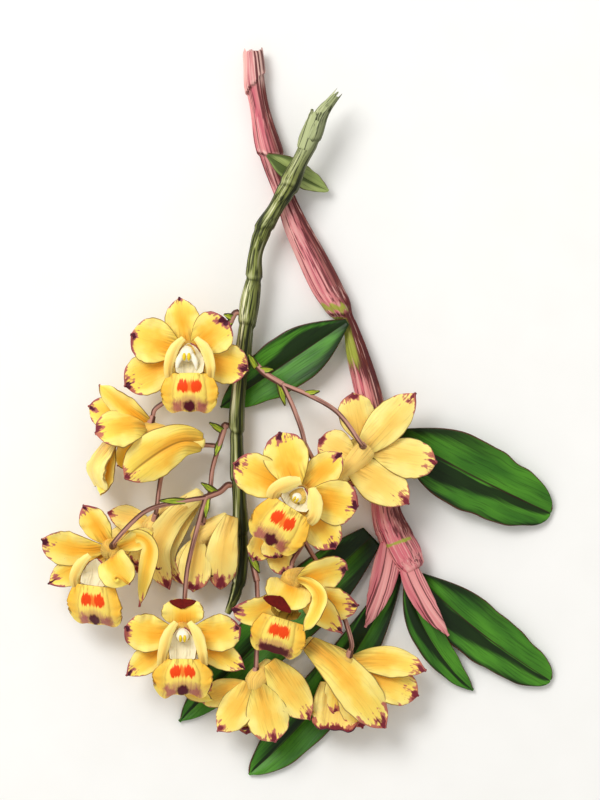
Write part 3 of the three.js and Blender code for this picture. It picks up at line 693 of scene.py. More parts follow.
@dataclass(frozen=True)
class LipFinish:
    """The lip's middle lobe: golden, with two orange-red blotches, a maroon apex, and painted
    shade at its foot and along the creases beside its middle.
    """

    name: str = "lip_golden"
    edge: str = "ffe16a"
    heart: str = "fbb324"
    blotch: str = "f04406"
    link: str = "f5701a"
    mauve: str = "a8485a"
    maroon: str = "520a1e"
    shade: str = "8a5f12"
    apart: float = 0.25
    band: float = 0.22
    centre: float = 0.83

    def make(self) -> Material:
        """Build the material."""
        board = Board(self.name, 0.48)
        step = board.step
        _, aside, along = board.uv()
        place = (aside, along)
        strokes = board.noise(1.5, 0.35)
        brushed = board.line(board.noise(3.4, 0.12), 0.3, -0.15)
        dabs = board.line(board.noise(0.9, 0.6, 2.0), 1.6, -0.8)
        height = board.sum("ADD", board.sum("SUBTRACT", along, 0.31), brushed)
        height = board.sum("ABSOLUTE", height)
        spot = board.round(board.product(height, 1.35), board.apart(aside, self.apart))
        halo = board.line(brushed, 3.0, board.reach(place, (0.0, 0.74), (0.5, 0.24)))
        flank = board.line(brushed, 3.4, board.reach(place, (0.43, 0.87), (0.21, 0.19)))
        apex = board.line(brushed, 1.6, board.reach(place, (0.0, self.centre), (self.band, 0.17)))
        colour = board.washes(
            self.edge,
            (self.heart, step(aside, 0.42, 0.85), step(along, 1.0, 0.6), 0.7),
            # painted shade: hatched strokes at the lip's foot and a soft line along each crease between
            # the middle and the sides
            (self.shade, step(strokes, 0.5, 0.66), step(along, 0.3, 0.02), 0.6),
            (self.shade, step(board.apart(aside, 0.56), 0.07, 0.0), 0.3),
            (self.shade, step(aside, 0.94, 0.99), RIM_SHARE),
            (self.link, step(height, 0.17, 0.09), step(aside, 0.44, 0.36), 0.9),
            (self.blotch, step(spot, 0.044, 0.03), 0.97),
            (self.mauve, step(halo, 1.15, 0.5), 0.5),
            (self.mauve, step(board.sum("ADD", flank, dabs), 1.6, 0.4), 0.85),
            (self.maroon, step(board.line(dabs, 0.5, apex), 1.3, 0.75)),
        )
        board.relief(board.noise(2.0, 0.3, 4.0), 0.12)
        board.glow(*PETAL_GLOW)
        return board.done(colour)


@dataclass(frozen=True)
class CreamFinish:
    """Ivory tissue of the throat and the column, with faint greyish veins; in olive and brown it
    makes the painted shadow of a shaded throat.
    """

    name: str
    light: str = "fff8e2"
    dark: str = "cdbf94"
    share: float = 0.5

    def make(self) -> Material:
        """Build the material."""
        board = Board(self.name, 0.42)
        veins = board.step(board.noise(1.6, 0.25), 0.45, 0.72)
        board.relief(board.noise(1.5, 0.4), 0.08)
        board.glow(0.15, (1.0, 0.8, 0.5))
        return board.done(board.washes(self.light, (self.dark, veins, self.share)))


@dataclass(frozen=True)
class LeafFinish:
    """A waxy green leaf with a maroon edge, painted near-black with shade along one side of its
    midrib, by its margins and at its foot.
    """

    name: str = "leaf_green"
    light: str = "4d8c24"
    mid: str = "32681a"
    dark: str = "0c1a04"
    edge: str = "54281c"
    rib: str = "2c140c"

    def make(self) -> Material:
        """Build the material."""
        board = Board(self.name, 0.38)
        step = board.step
        across, aside, along = board.uv()
        streaks = board.noise(1.1, 0.06, 5.0)
        cloud = board.noise(0.16, 0.05, 2.0)
        # painted shade: near-black along one side of the midrib, by the other margin near the foot,
        # along the far edge and at the foot
        shifted = board.line(streaks, 0.5, board.sum("ADD", across, -0.25))
        root = step(along, 0.75, 0.2)
        past = board.sum("SUBTRACT", shifted, board.line(root, 0.45, 0.26))
        dark = board.product(step(shifted, -0.03, 0.05), step(past, 0.16, -0.08))
        margin = board.product(step(shifted, -0.42, -0.82), root)
        for share in (margin, step(shifted, 0.78, 1.0), step(along, 0.16, 0.02)):
            dark = board.sum("MAXIMUM", dark, share)
        colour = board.washes(
            self.mid,
            (self.light, step(cloud, 0.35, 0.65)),
            # the painted shade, then dark streaks of the leaf's own
            (self.dark, dark, 0.93),
            (self.dark, step(board.noise(3.5, 0.12), 0.48, 0.7), 0.45),
            (self.rib, step(aside, 0.04, 0.015), 0.8),
            (self.edge, step(aside, 0.95, 0.985)),
        )
        board.relief(board.noise(2.5, 0.1, 4.0), 0.1)
        return board.done(colour)


@dataclass(frozen=True)
class SheathFinish:
    """Rose-pink sheath with lengthwise stripes.

    The mesh's own tone says where the sheath is yellow-green, where maroon, and where worn
    pale. The maroon down the cane's right side is painted shade.
    """

    name: str = "sheath_pink"
    rose: str = "eea19e"
    deep: str = "d06a76"
    stripe: str = "521c20"
    ring: str = "9fa83c"
    maroon: str = "6c3226"
    worn: str = "ecc4b8"

    def make(self) -> Material:
        """Build the material."""
        board = Board(self.name, 0.5)
        step = board.step
        ring, maroon, worn = board.attribute("tone")
        fine = board.noise(1.9, 0.03, 4.0)
        colour = board.washes(
            self.rose,
            (self.deep, step(board.noise(0.7, 0.02), 0.38, 0.62)),
            # maroon of the sheath's own, and painted shade in maroon down the right side
            (self.maroon, maroon),
            (self.stripe, step(board.line(maroon, 0.12, fine), 0.55, 0.63), 0.85),
            (self.worn, step(fine, 0.42, 0.34), 0.5),
            (self.worn, worn, step(fine, 0.6, 0.42)),
            (self.ring, step(board.line(fine, 1.1, ring), 0.75, 1.25), 0.9),
        )
        board.relief(fine, 0.35)
        return board.done(colour)


@dataclass(frozen=True)
class CaneFinish:
    """Olive cane with dark and cream lengthwise stripes, and a painted cream highlight down
    one side.

    The mesh's own tone says where the pale joints, the dry end and the dark flanks are; the
    flanks are painted shade, and the same channel holds dark lines under the joints.
    """

    name: str = "cane_olive"
    olive: str = "858c46"
    dark: str = "1d2208"
    cream: str = "f2efc4"
    dry: str = "b2ba88"
    joint: str = "b4ba80"

    def make(self) -> Material:
        """Build the material."""
        board = Board(self.name, 0.42)
        step = board.step
        joint, dry, flank = board.attribute("tone")
        side = board.attribute("grain")[1]
        broad = board.noise(0.8, 0.03)
        fine = board.noise(2.4, 0.05, 4.0)
        # painted highlight: cream down one side of the cane
        painted_highlight = (step(side, 0.2, 0.9), step(side, 1.9, 1.3), step(broad, 0.56, 0.42))
        colour = board.washes(
            self.olive,
            (self.dark, step(broad, 0.5, 0.62)),
            (self.cream, step(broad, 0.46, 0.34), 0.85),
            (self.dry, dry, 0.85),
            (self.dark, step(fine, 0.53, 0.61), 0.85),
            (self.joint, joint, step(broad, 0.6, 0.45), 0.8),
            (self.cream, *painted_highlight, step(fine, 0.56, 0.46), 0.75),
            # painted shade on the flanks
            (self.dark, flank, 0.75),
        )
        board.relief(fine, 0.25)
        return board.done(colour)


@dataclass(frozen=True)
class StalkFinish:
    """Pinkish-brown stalk with brown streaks, and painted shade along one side."""

    name: str = "stalk_brown"
    pink: str = "ba8878"
    brown: str = "4c2a20"

    def make(self) -> Material:
        """Build the material."""
        board = Board(self.name, 0.45)
        streaks = board.noise(1.5, 0.1)
        # painted shade: brown down one side of the stalk, ragged by the streaks
        side = board.line(streaks, 0.8, board.attribute("grain")[1])
        colour = board.washes(
            self.pink,
            (self.brown, board.step(streaks, 0.48, 0.64), 0.7),
            (self.brown, board.step(side, 0.38, 0.75), 0.92),
        )
        board.relief(streaks, 0.1)
        return board.done(colour)


@dataclass(frozen=True)
class BractFinish:
    """A yellow-green bract with a brown edge."""

    name: str = "bract_green"
    light: str = "b9c43c"
    green: str = "6f8a28"
    edge: str = "3c3412"

    def make(self) -> Material:
        """Build the material."""
        board = Board(self.name, 0.5)
        _, aside, along = board.uv()
        green = board.step(board.noise(3.0, 0.3), 0.4, 0.6)
        edges = [(self.edge, board.step(aside, 0.7, 0.95)), (self.edge, board.step(along, 0.86, 1.0))]
        return board.done(board.washes(self.light, (self.green, green), *edges))


@dataclass(frozen=True)
class PlainFinish:
    """A faintly mottled single colour, for small parts and the floor."""

    name: str
    light: str
    dark: str
    roughness: float = 0.6
    scale: float = 900.0

    def make(self) -> Material:
        """Build the material."""
        board = Board(self.name, self.roughness)
        place = board.node("ShaderNodeTexCoord").outputs["Object"]
        noise = board.node("ShaderNodeTexNoise", place)
        board.set(noise, Scale=self.scale)
        return board.done(board.washes(self.light, (self.dark, noise.outputs[0])))


def made(finish: object) -> Material:
    """A field for a finish's material, which is made with the whole set."""
    return field(default_factory=finish.make)


@dataclass
class Finishes:
    """Every material of the cutting, made once."""

    petal: Material = made(PetalFinish("petal_inside"))
    petal_back: Material = made(PetalFinish(
        "petal_outside", heart="f8ad2c", mauve="bb5f58", maroon="7a2432",
        heart_share=0.88, vein_share=0.14, foot_shade_share=0.3,
    ))
    petal_rim: Material = made(
        PetalFinish("petal_rim", "c79a34", "b07c20", "cfa84a", "5a3a10", "8a3444", "3c0a1c")
    )
    lip: Material = made(LipFinish())
    lip_banded: Material = made(LipFinish("lip_banded", apart=0.17, band=0.6, centre=0.88))
    throat: Material = made(CreamFinish("throat_cream", "f3e8c4", "b0a27a", 0.5))
    # a throat painted olive-brown as shadow, for a lip whose throat lies in shade
    throat_shadow: Material = made(CreamFinish("throat_painted_shadow", "a88a36", "4a3a10", 0.8))
    fold: Material = made(PlainFinish("fold_brick", "7c1408", "480604", 0.8, 1400.0))
    column: Material = made(CreamFinish("column_ivory", share=0.25))
    anther: Material = made(PlainFinish("anther_yellow", "f6de34", "dcb01a", 0.4))
    leaf: Material = made(LeafFinish())
    leaf_young: Material = made(
        LeafFinish("leaf_young", "a7b56c", "869a52", "4c5c2c", "5a3a20", "3c3018")
    )
    sheath: Material = made(SheathFinish())
    cane: Material = made(CaneFinish())
    stalk: Material = made(StalkFinish())
    bract: Material = made(BractFinish())


# ---- canes and leaves --------------------------------------------------------------------
# Each station is x, y, z and the radius, from the torn upper end down.
LEAFY_CANE = (
    (-12.2, 98.6, 3.6, 2.6), (-11.4, 90, 3.5, 2.6), (-10.4, 84.5, 3.4, 2.5), (-8.8, 77, 3.4, 3),
    (-6.7, 69.5, 3.3, 3), (-3.5, 60, 3.2, 2.6), (-0.3, 51.5, 3.3, 3.3), (3.9, 43, 3.3, 3.9),
    (8.2, 34.5, 3.4, 4.1), (11.8, 28.5, 3.5, 3.3), (13.4, 25.6, 3.4, 2.5), (16.1, 17.5, 3.4, 3),
    (18.9, 8, 3.5, 3.5), (21.2, -2, 3.6, 3.8), (22.8, -11.5, 3.5, 3.4), (23.9, -21, 3.5, 3.7),
    (24.8, -28, 3.4, 4), (27, -34, 3.8, 4.6), (29.8, -39.4, 4.1, 4.8), (31.8, -42.4, 4.4, 3.6),
)

FLOWERING_CANE = (
    (10.4, 86.4, 11.4, 1.1), (6.9, 81.9, 11.2, 1.8), (3.9, 74.8, 10.8, 2.3), (0.6, 68.2, 10.3, 2.1),
    (-2.6, 61.5, 9.8, 2.6), (-6, 55.8, 9.3, 1.9), (-9.4, 49.8, 8.8, 2.3), (-11.4, 43.2, 8.4, 1.8),
    (-11.9, 36.6, 8, 2.1), (-12.8, 31.1, 7.7, 2.6), (-14, 22.8, 7.3, 2.1), (-14.8, 16.5, 7, 2.3),
    (-15.7, 9.1, 6.7, 2), (-16.4, 0.8, 6.4, 2), (-16.5, -7.4, 6.2, 1.8), (-16.2, -15.7, 6, 1.9),
    (-15.7, -23.9, 5.8, 1.9), (-15.4, -33.6, 5.6, 2), (-15.5, -42.4, 5.5, 1.8),
    (-16.8, -49.5, 5.4, 1.5), (-19, -54.8, 5.3, 0.8),
)


def beside_cane(cane: tuple[Station, ...], y: float, leave: Point, clear: float = GAP) -> Point:
    """The point beside a cane at height y, clear of its side in the given direction."""
    rows = np.array(cane)[::-1]
    place = np.array([np.interp(y, rows[:, 1], column) for column in rows.T])
    return tuple(place[:3] + unit(vec(leave)) * (place[3] + clear))


def marks_of(piece: Piece) -> tuple[np.ndarray, np.ndarray]:
    """Each point's angle round a tube, and its height along the cutting in mm."""
    grain = np.empty(len(piece.data.vertices) * 3)
    piece.data.attributes["grain"].data.foreach_get("vector", grain)
    x, y, _ = grain.reshape(-1, 3).T
    return np.arctan2(y, x), points_of(piece)[:, 1] / MM


def set_tone(piece: Piece, *shares: np.ndarray) -> None:
    """Set the three shares that a cane's finish reads at each point."""
    values = np.clip(np.stack(shares, -1), 0, 1).astype(np.float32)
    piece.data.attributes["tone"].data.foreach_set("vector", values.ravel())


@dataclass
class LeafyCane:
    """The pink cane in its sheaths, with two loose sheaths over the lower leaves.

    Heights are along the cutting, in millimetres.
    """

    node: str = "cane_leafy"
    ring: float = 27.2
    low_ring: float = -35.4
    mouths: tuple[tuple[float, float, float, float], ...] = (
        (90.6, 0.45, 2.6, -1.7), (71.4, 0.5, -1.2, -2.4), (-33.4, 0.25, 2.0, 2.2),
    )

    def edges(self, angle: np.ndarray) -> list[np.ndarray]:
        """The height of each sheath's free edge, all the way round the cane."""
        uneven = 0.15 * np.cos(5 * angle)
        return [place + slant * np.cos(angle - turn) + uneven for place, _, slant, turn in self.mouths]

    def relief(self, angle: np.ndarray, height: np.ndarray) -> np.ndarray:
        """The sheaths' ribs, the steps where one comes out of another, and the neck."""
        ribs = 0.13 * np.cos(7 * angle + 0.4) + 0.08 * np.cos(13 * angle + height * 0.02)
        rise = ribs + 0.04 * np.cos(23 * angle + 1.0)
        for (_, depth, _, _), edge in zip(self.mouths, self.edges(angle)):
            rise = rise + depth * between(height, edge - 0.2, edge, edge + 1, edge + 9)
        neck = bump(height, self.ring - 1.2, 1.6)
        flutes = 0.3 * np.cos(9 * angle) * bump(height, self.ring + 2.4, 2.0)
        left = smooth(np.sin(angle), -0.3, 0.6)
        step = between(height, *(self.ring - below for below in (14, 2, 0.9, 0.3)))
        return rise + flutes - 0.3 * neck - 1.1 * left * step

    def dress(self, piece: Piece) -> None:
        """Mark where the cane is yellow-green, maroon and worn, with painted shade in maroon down
        its right side.
        """
        angle, height = marks_of(piece)
        side, top = np.sin(angle), -np.cos(angle)
        left = smooth(side, -0.5, 0.5)
        ring = 0.9 * bump(height, self.ring + 1.6 + 0.5 * np.cos(9 * angle), 1.1)
        ring = ring * smooth(side, -0.95, -0.3)
        young = 0.9 * left * between(height, 9, 18, self.ring - 1.2, self.ring - 0.6)
        low = 0.9 * bump(height, self.low_ring - 1.6 * side, 0.45) * smooth(top, 0.3, 0.8)
        lines = sum(bump(height, edge - 0.4, 0.35) for edge in self.edges(angle)[:2])
        rims = sum(bump(height, edge + 0.45, 0.4) for edge in self.edges(angle)[:2])
        # painted shade: maroon down the cane's right side, faint below its lower ring
        right = 0.9 * (1 - smooth(side, -0.85, 0.35)) * (0.15 + 0.85 * smooth(height, -37, -31))
        scar = 0.95 * bump(height, self.ring - 0.2, 0.45)
        middle = 0.8 * between(height, 6, 16, 25, 27) + 0.5 * bump(height, 66, 4) + scar + lines
        worn = 0.85 * smooth(height, 88, 93) + 0.5 * bump(height, 50, 14) * left
        set_tone(piece, ring + young + low, (right + middle) * (1 - 0.8 * rims), worn + rims)

    def build(self, finishes: Finishes) -> None:
        """Make the cane and its loose sheaths, and hand them over."""
        stem = Tube(LEAFY_CANE, sides=64, rings=300, tear=0.8)
        stem = stem.build("stem", finishes.sheath, self.relief)
        self.dress(stem)
        hanging = {"outline": Outline.SHEATH, "bow": 1, "cup": -0.25, "rows": 36, "tone": (0, 0.1, 0.1)}
        left = Blade((25.6, -35.5, 6.6), (18.7, -58.8, 4.4), UP, 7.4, sway=-1, **hanging)
        right = Blade((30.2, -41.5, 6.6), (41.6, -61, 5.8), UP, 6.4, sway=1.2, **hanging)
        flaps = join([b.build("flap", finishes.sheath) for b in (left, right)], "flaps")
        thicken(flaps, LEAF_THICK)
        hand_over(join([stem, flaps], "stem_leafy"), self.node)


@dataclass
class FloweringCane:
    """The leafless green cane, with its joints and a dry sheath near its torn end.

    Joints are heights along the cutting, in millimetres.
    """

    node: str = "cane_flowering"
    joints: tuple[float, ...] = (75.5, 62.0, 50.6, 37.4, 24.2, 10.0, -4.6, -18.6, -33.0, -46.5)

    def edges(self, angle: np.ndarray) -> list[np.ndarray]:
        """The height of each joint's free edge, all the way round the cane."""
        return [place + 0.8 * np.cos(angle - 2.2 * k) for k, place in enumerate(self.joints)]

    def relief(self, angle: np.ndarray, height: np.ndarray) -> np.ndarray:
        """Soft ribs, and at each joint the lip of the sheath that comes out of it."""
        rise = 0.06 * np.cos(5 * angle + 0.05 * height) + 0.05 * np.cos(11 * angle)
        for edge in self.edges(angle):
            rise = rise + 0.3 * between(height, edge - 0.3, edge + 0.3, edge + 1, edge + 9)
            rise = rise - 0.14 * bump(height, edge - 0.9, 0.6)
        return rise + 0.15 * smooth(height, 74, 78) * np.cos(9 * angle)

    def dress(self, piece: Piece) -> None:
        """Mark the pale joints, the dry upper end, and the dark flanks: painted shade down both
        sides, dark lines under the joints, and darker towards the lower end.
        """
        angle, height = marks_of(piece)
        edges = self.edges(angle)
        joints = sum(bump(height, edge + 0.6, 0.55) * (0.6 + 0.4 * np.sin(angle)) for edge in edges)
        lines = sum(bump(height, edge - 0.35, 0.3) for edge in edges)
        # painted shade down the cane's right side and along its left edge, then dark lines just under
        # each joint and a darkening towards the lower end
        flank = 0.9 * (1 - smooth(np.sin(angle), -0.9, 0.0)) + 0.6 * smooth(np.sin(angle), 0.8, 1.0)
        flank = flank + 0.9 * lines + 0.12 * (1 - smooth(height, -30, 50))
        set_tone(piece, joints, smooth(height, 62, 76), flank)

    def build(self, finishes: Finishes) -> None:
        """Make the cane and its dry sheath, and hand them over."""
        stem = Tube(FLOWERING_CANE, sides=40, rings=320, tear=1.2)
        stem = stem.build("cane", finishes.cane, self.relief)
        self.dress(stem)
        dry = Blade(
            (1.4, 72.0, 12.6), (5.2, 82.6, 13.0), (-0.3, 0.1, 1), 4.6, Outline.SHEATH,
            cup=-0.45, lobes=1.8, end=0.7, rows=24, tone=(0, 1, 0),
        ).build("dry_sheath", finishes.cane)
        thicken(dry, LEAF_THICK)
        hand_over(join([stem, dry], "stem_flowering"), self.node)


@dataclass
class Leaf:
    """One leaf of the leafy cane."""

    node: str
    y: float
    leave: Point
    to: Point
    width: float
    clear: float = 0.6
    bow: float = 0.0
    sway: float = 0.0
    outline: Outline = Outline.LEAF
    young: bool = False

    def build(self, finishes: Finishes) -> None:
        """Make the leaf and hand it over."""
        blade = Blade(
            beside_cane(LEAFY_CANE, self.y, self.leave, self.clear),
            self.to, UP, self.width, self.outline,
            bow=self.bow, sway=self.sway, cup=0.0, fold=0.16, wave=0.18, waves=1.3, groove=0.3,
            seed=self.y, rows=60, columns=20,
        )
        finish = finishes.leaf_young if self.young else finishes.leaf
        leaf = blade.build(self.node.replace("leaf", "blade"), finish)
        thicken(leaf, LEAF_THICK)
        hand_over(leaf, self.node)


LEAVES = (
    Leaf(
        "leaf_top_small", 70.6, (-0.3, 0.05, 1), (8.6, 61, 3.4), 6.8, clear=1.05, bow=0.6, sway=0.3,
        young=True,
    ),
    Leaf("leaf_upper_left", 25.4, (0.1, -0.1, 1), (-21, 1.6, 1.2), 15, clear=0.9, bow=0.4),
    Leaf(
        "leaf_right_upper", -5.5, (1, 0, 0.1), (69.6, -27.4, 1), 20, clear=1.9, bow=1.5, sway=0.8,
        outline=Outline.BLUNT_LEAF,
    ),
    Leaf(
        "leaf_right_lower", -41, (0.5, -1, -0.9), (69.6, -73.4, 1), 15.4, bow=0.6, sway=1.5,
        outline=Outline.BLUNT_LEAF,
    ),
    Leaf("leaf_narrow", -41.5, (-0.3, -1, -0.2), (48.4, -76.2, 0.8), 8.8, bow=1.6, sway=2.8),
    Leaf(
        "leaf_under_left", -31.5, (-1, -0.4, -0.3), (-32.4, -84.8, 0.8), 17, clear=1.8, bow=-0.6,
        outline=Outline.BROAD_LEAF,
    ),
    Leaf(
        "leaf_under_right", -40.4, (-0.9, -1, -0.9), (-13.2, -99.4, 0.9), 14.4, bow=-0.8, sway=-4,
        outline=Outline.LONG_LEAF,
    ),
)


# ---- blooms ------------------------------------------------------------------------------
@dataclass(frozen=True)
class Tepal:
    """A sepal or petal: its tip counted from the bloom's middle, and how it grows."""

    tip: Point
    width: float
    outline: Outline
    layer: int
    foot: Point | None = None
    facing: Point | None = None
    via: Points = ()
    bow: float = 0.0
    sway: float = 0.0
    curl: float = 0.0
    roll: float = 0.0
    cup: float = 0.12
    wave: float = TISSUE_WAVE
    lobes: float = 0.0
    jowl: float = 0.0
    mark: float = 0.24
    lean: float = 0.0
    groove: float = 0.12
    crease: float = 0.0
    fold: float = 0.0
    brick: bool = False


TRAITS = ("bow", "sway", "curl", "roll", "cup", "wave", "lobes", "jowl", "groove", "crease", "fold")


def sepal(tip: Point, width: float, outline: Outline = Outline.SEPAL, **more: object) -> Tepal:
    """A tepal of the outer layer."""
    return Tepal(tip, width, outline, -1, **more)


def petal(tip: Point, width: float, outline: Outline = Outline.PETAL, **more: object) -> Tepal:
    """A tepal of the inner layer."""
    return Tepal(tip, width, outline, 1, **more)


@dataclass(frozen=True)
class Lip:
    """How a bloom's lip sits: its size, its shift, and the way it is turned."""

    size: float = 1.0
    shift: Point = (0, 0, 0)
    faces: Point | None = None
    up: Point | None = None
    ears: bool = True
    sides: tuple[int, ...] = (1, -1)
    depth: float = 1.0
    bulge: float = 0.86
    reach: float = 10.6
    lobes: float = 0.5
    jowl: float = 0.8
    ear: float = 2.9
    outline: Outline = Outline.LIP
    mark: float = 0.2
    # a dark lip's throat is painted as shadow, and its lobe takes the banded finish
    dark: bool = False


def nodding_lip(size: float, shift: Point, faces: Point, up: Point) -> Lip:
    """The lip of a bloom that shows its back, with no side lobes in sight."""
    return Lip(size, shift, faces, up, ears=False)


@dataclass
class Bloom:
    """One bloom: three sepals, two petals, a lip, a column, an ovary and a chin."""

    node: str
    at: Point
    faces: Point
    up: Point
    chin: Point
    stalk: Point
    tepals: tuple[Tepal, ...]
    lip: Lip = Lip()
    chin_width: float = 1.0
    hangs: bool = False
    pale: float = 0.0
    column: float = 0.8
    scroll: Points = ()

    def axes(self, faces: Point, up: Point) -> np.ndarray:
        """Rows of the bloom's own right, up and forward directions."""
        z = unit(vec(faces))
        y = unit(vec(up) - z * vec(up).dot(z))
        return np.array([np.cross(y, z), y, z])

    def placed(self, piece: Piece, size: float, axes: np.ndarray, shift: Point) -> Piece:
        """Set a piece made in the bloom's own axes where it belongs."""
        places = points_of(piece) / MM * size @ axes + vec(self.at) + vec(shift)
        move_points(piece, places * MM)
        return piece

    def tepal_blade(self, number: int, tepal: Tepal) -> Blade:
        """The blade of one tepal, in the cutting's frame."""
        at, tip, front = vec(self.at), vec(tepal.tip), unit(vec(self.faces))
        aside = unit(tip - front * tip.dot(front)) * FOOT + front * tepal.layer * LAYER
        foot = at + (vec(tepal.foot) if tepal.foot else aside)
        facing = tepal.facing or (HANGING if self.hangs else self.faces)
        return Blade(
            tuple(foot), tuple(at + tip), facing, tepal.width, tepal.outline,
            via=tuple(tuple(at + vec(point)) for point in tepal.via),
            seed=self.at[0] + number * 1.3, tone=(tepal.mark, tepal.lean, self.pale),
            **{trait: getattr(tepal, trait) for trait in TRAITS},
        )

    def lip_sheets(self, finishes: Finishes) -> list[Piece]:
        """The lip's middle lobe, throat and side lobes, in the bloom's own axes."""
        trio = (finishes.petal, finishes.petal_back, finishes.petal_rim)
        deep, wide, long = self.lip.depth, self.lip.bulge, self.lip.reach
        top = LOBE_TOP * deep
        lobe = Blade(
            (0, -top, 4.4), (0, -top - long, 1.6), UP, LOBE_WIDTH, self.lip.outline,
            via=((0, -top - 0.3 * long, 5.2), (0, -top - 0.68 * long, 4.2)),
            cup=-0.16, lobes=self.lip.lobes, jowl=self.lip.jowl, round_off=3.3, end=0.93,
            wave=0.3, folds=(0.6, 0.5), seed=self.at[0], rows=30, columns=40,
        )
        if not self.lip.ears:
            shape = {"foot": (0, -1, 0.4), "via": ((0, -9.4, 4.6), (0, -13, 4)), "rows": 36}
            lobe = replace(lobe, **shape, tone=(self.lip.mark, 0, 0.6))
            return [lobe.build("lobe", *trio)]
        throat = Blade(
            (0, -7.0 * deep, 3.4), (0, 2.2, 1.8), UP, THROAT_WIDTH * wide, Outline.THROAT,
            via=((0, -2.8 * deep, 0.6),), cup=0.6, groove=0,
        )
        ears = [
            Blade(
                (side * 5.4, -7.8 * deep, 3.8), (side * 1.6, 3.6, 3.6), (side * -0.3, 0, 1),
                self.lip.ear, Outline.EAR,
                via=((side * 6.4 * wide, -3.6 * deep, 4.9), (side * 4.6 * wide, 0.9, 4.6)),
                cup=-0.5, wave=0.15, groove=0, end=0.5, tone=(0, 0, 0.7), seed=side, rows=28,
            )
            for side in self.lip.sides
        ]
        # a throat that lies in shade is painted as shadow
        inside = finishes.throat_shadow if self.lip.dark else finishes.throat
        outside = finishes.lip_banded if self.lip.dark else finishes.lip
        return [
            lobe.build("lobe", outside, *trio[1:]),
            throat.build("throat", inside, *trio[1:]),
            *(ear.build("ear", *trio) for ear in ears),
        ]

    def column_pieces(self, finishes: Finishes) -> list[Piece]:
        """The column, its two arms and its anthers, in the bloom's own axes."""
        cap = ((0, 0.4, 0.8, 1.8), (0, -0.2, 2.6, 2.2), (0, -1.3, 4.0, 2.5), (0, -2.4, 4.4, 1.9))
        arm = ((1.6, -1.4, 4.6, 1.2), (2.9, -3.4, 5.0, 1.0), (3.3, -6.2, 4.6, 0.2))
        anther = ((0.8, -0.7, 6.2, 0.4), (0.8, -1.8, 6.4, 0.66), (0.75, -3.0, 6.0, 0.4))
        pieces = [Tube(cap, rings=20, blunt=0.5).build("column", finishes.column)]
        pairs = [("arm", arm, finishes.column)] * (self.column >= ARMS_FROM)
        for name, stations, finish in (*pairs, ("anther", anther, finishes.anther)):
            for side in (1, -1):
                path = tuple((side * x, *rest) for x, *rest in stations)
                pieces.append(Tube(path, sides=10, rings=12).build(name, finish))
        return pieces

    def body_pieces(self, finishes: Finishes) -> list[Piece]:
        """The chin, the ovary and any scroll, in the cutting's frame."""
        at, front, chin = vec(self.at), unit(vec(self.faces)), vec(self.chin)
        radius = CHIN_RADIUS * self.chin_width
        path = ((front * CHIN_FRONT, 0.9), (0 * at, 1.0), (chin / 2, 0.9), (chin, 0.62))
        stations = tuple((*(at + off), radius * share) for off, share in path)
        spur = Tube(stations, rings=24, blunt=0.5).build("chin", finishes.petal_back)
        none = np.zeros(len(spur.data.vertices))
        set_tone(spur, none, none, none + 0.5 + 0.5 * self.pale)
        end = at + vec(self.stalk)
        path = ((at, 1.0), ((at + end) / 2, 1.0), (end, 0.8))
        ovary = Tube(tuple((*place, OVARY_RADIUS * share) for place, share in path), sides=12)
        pieces = [spur, ovary.build("ovary", finishes.stalk)]
        if self.scroll:
            stations = tuple((*(at + vec(p)), SCROLL_RADIUS) for p in self.scroll)
            roll = Tube(stations, sides=10, rings=40)
            pieces.append(roll.build("scroll", finishes.petal_back))
        return pieces

    def build(self, finishes: Finishes) -> None:
        """Make the bloom and hand it over."""
        blades = [self.tepal_blade(k, tepal) for k, tepal in enumerate(self.tepals)]
        trio = (finishes.petal, finishes.petal_back, finishes.petal_rim)
        brick = (finishes.fold,) * 3
        sheets = [
            blade.build("tepal", *(brick if tepal.brick else trio))
            for blade, tepal in zip(blades, self.tepals)
        ]
        lip = self.lip
        turned = self.axes(lip.faces or self.faces, lip.up or self.up)
        for sheet in self.lip_sheets(finishes):
            sheets.append(self.placed(sheet, lip.size, turned, lip.shift))
        for sheet in sheets:
            thicken(sheet, PETAL_THICK, 1, 2)
        own = self.axes(self.faces, self.up)
        column = self.column_pieces(finishes)
        solids = [self.placed(piece, self.column, own, (0, 0, 0)) for piece in column]
        solids += self.body_pieces(finishes)
        whole = join(sheets + solids, self.node.replace("bloom", "flower"))
        hand_over(whole, self.node)


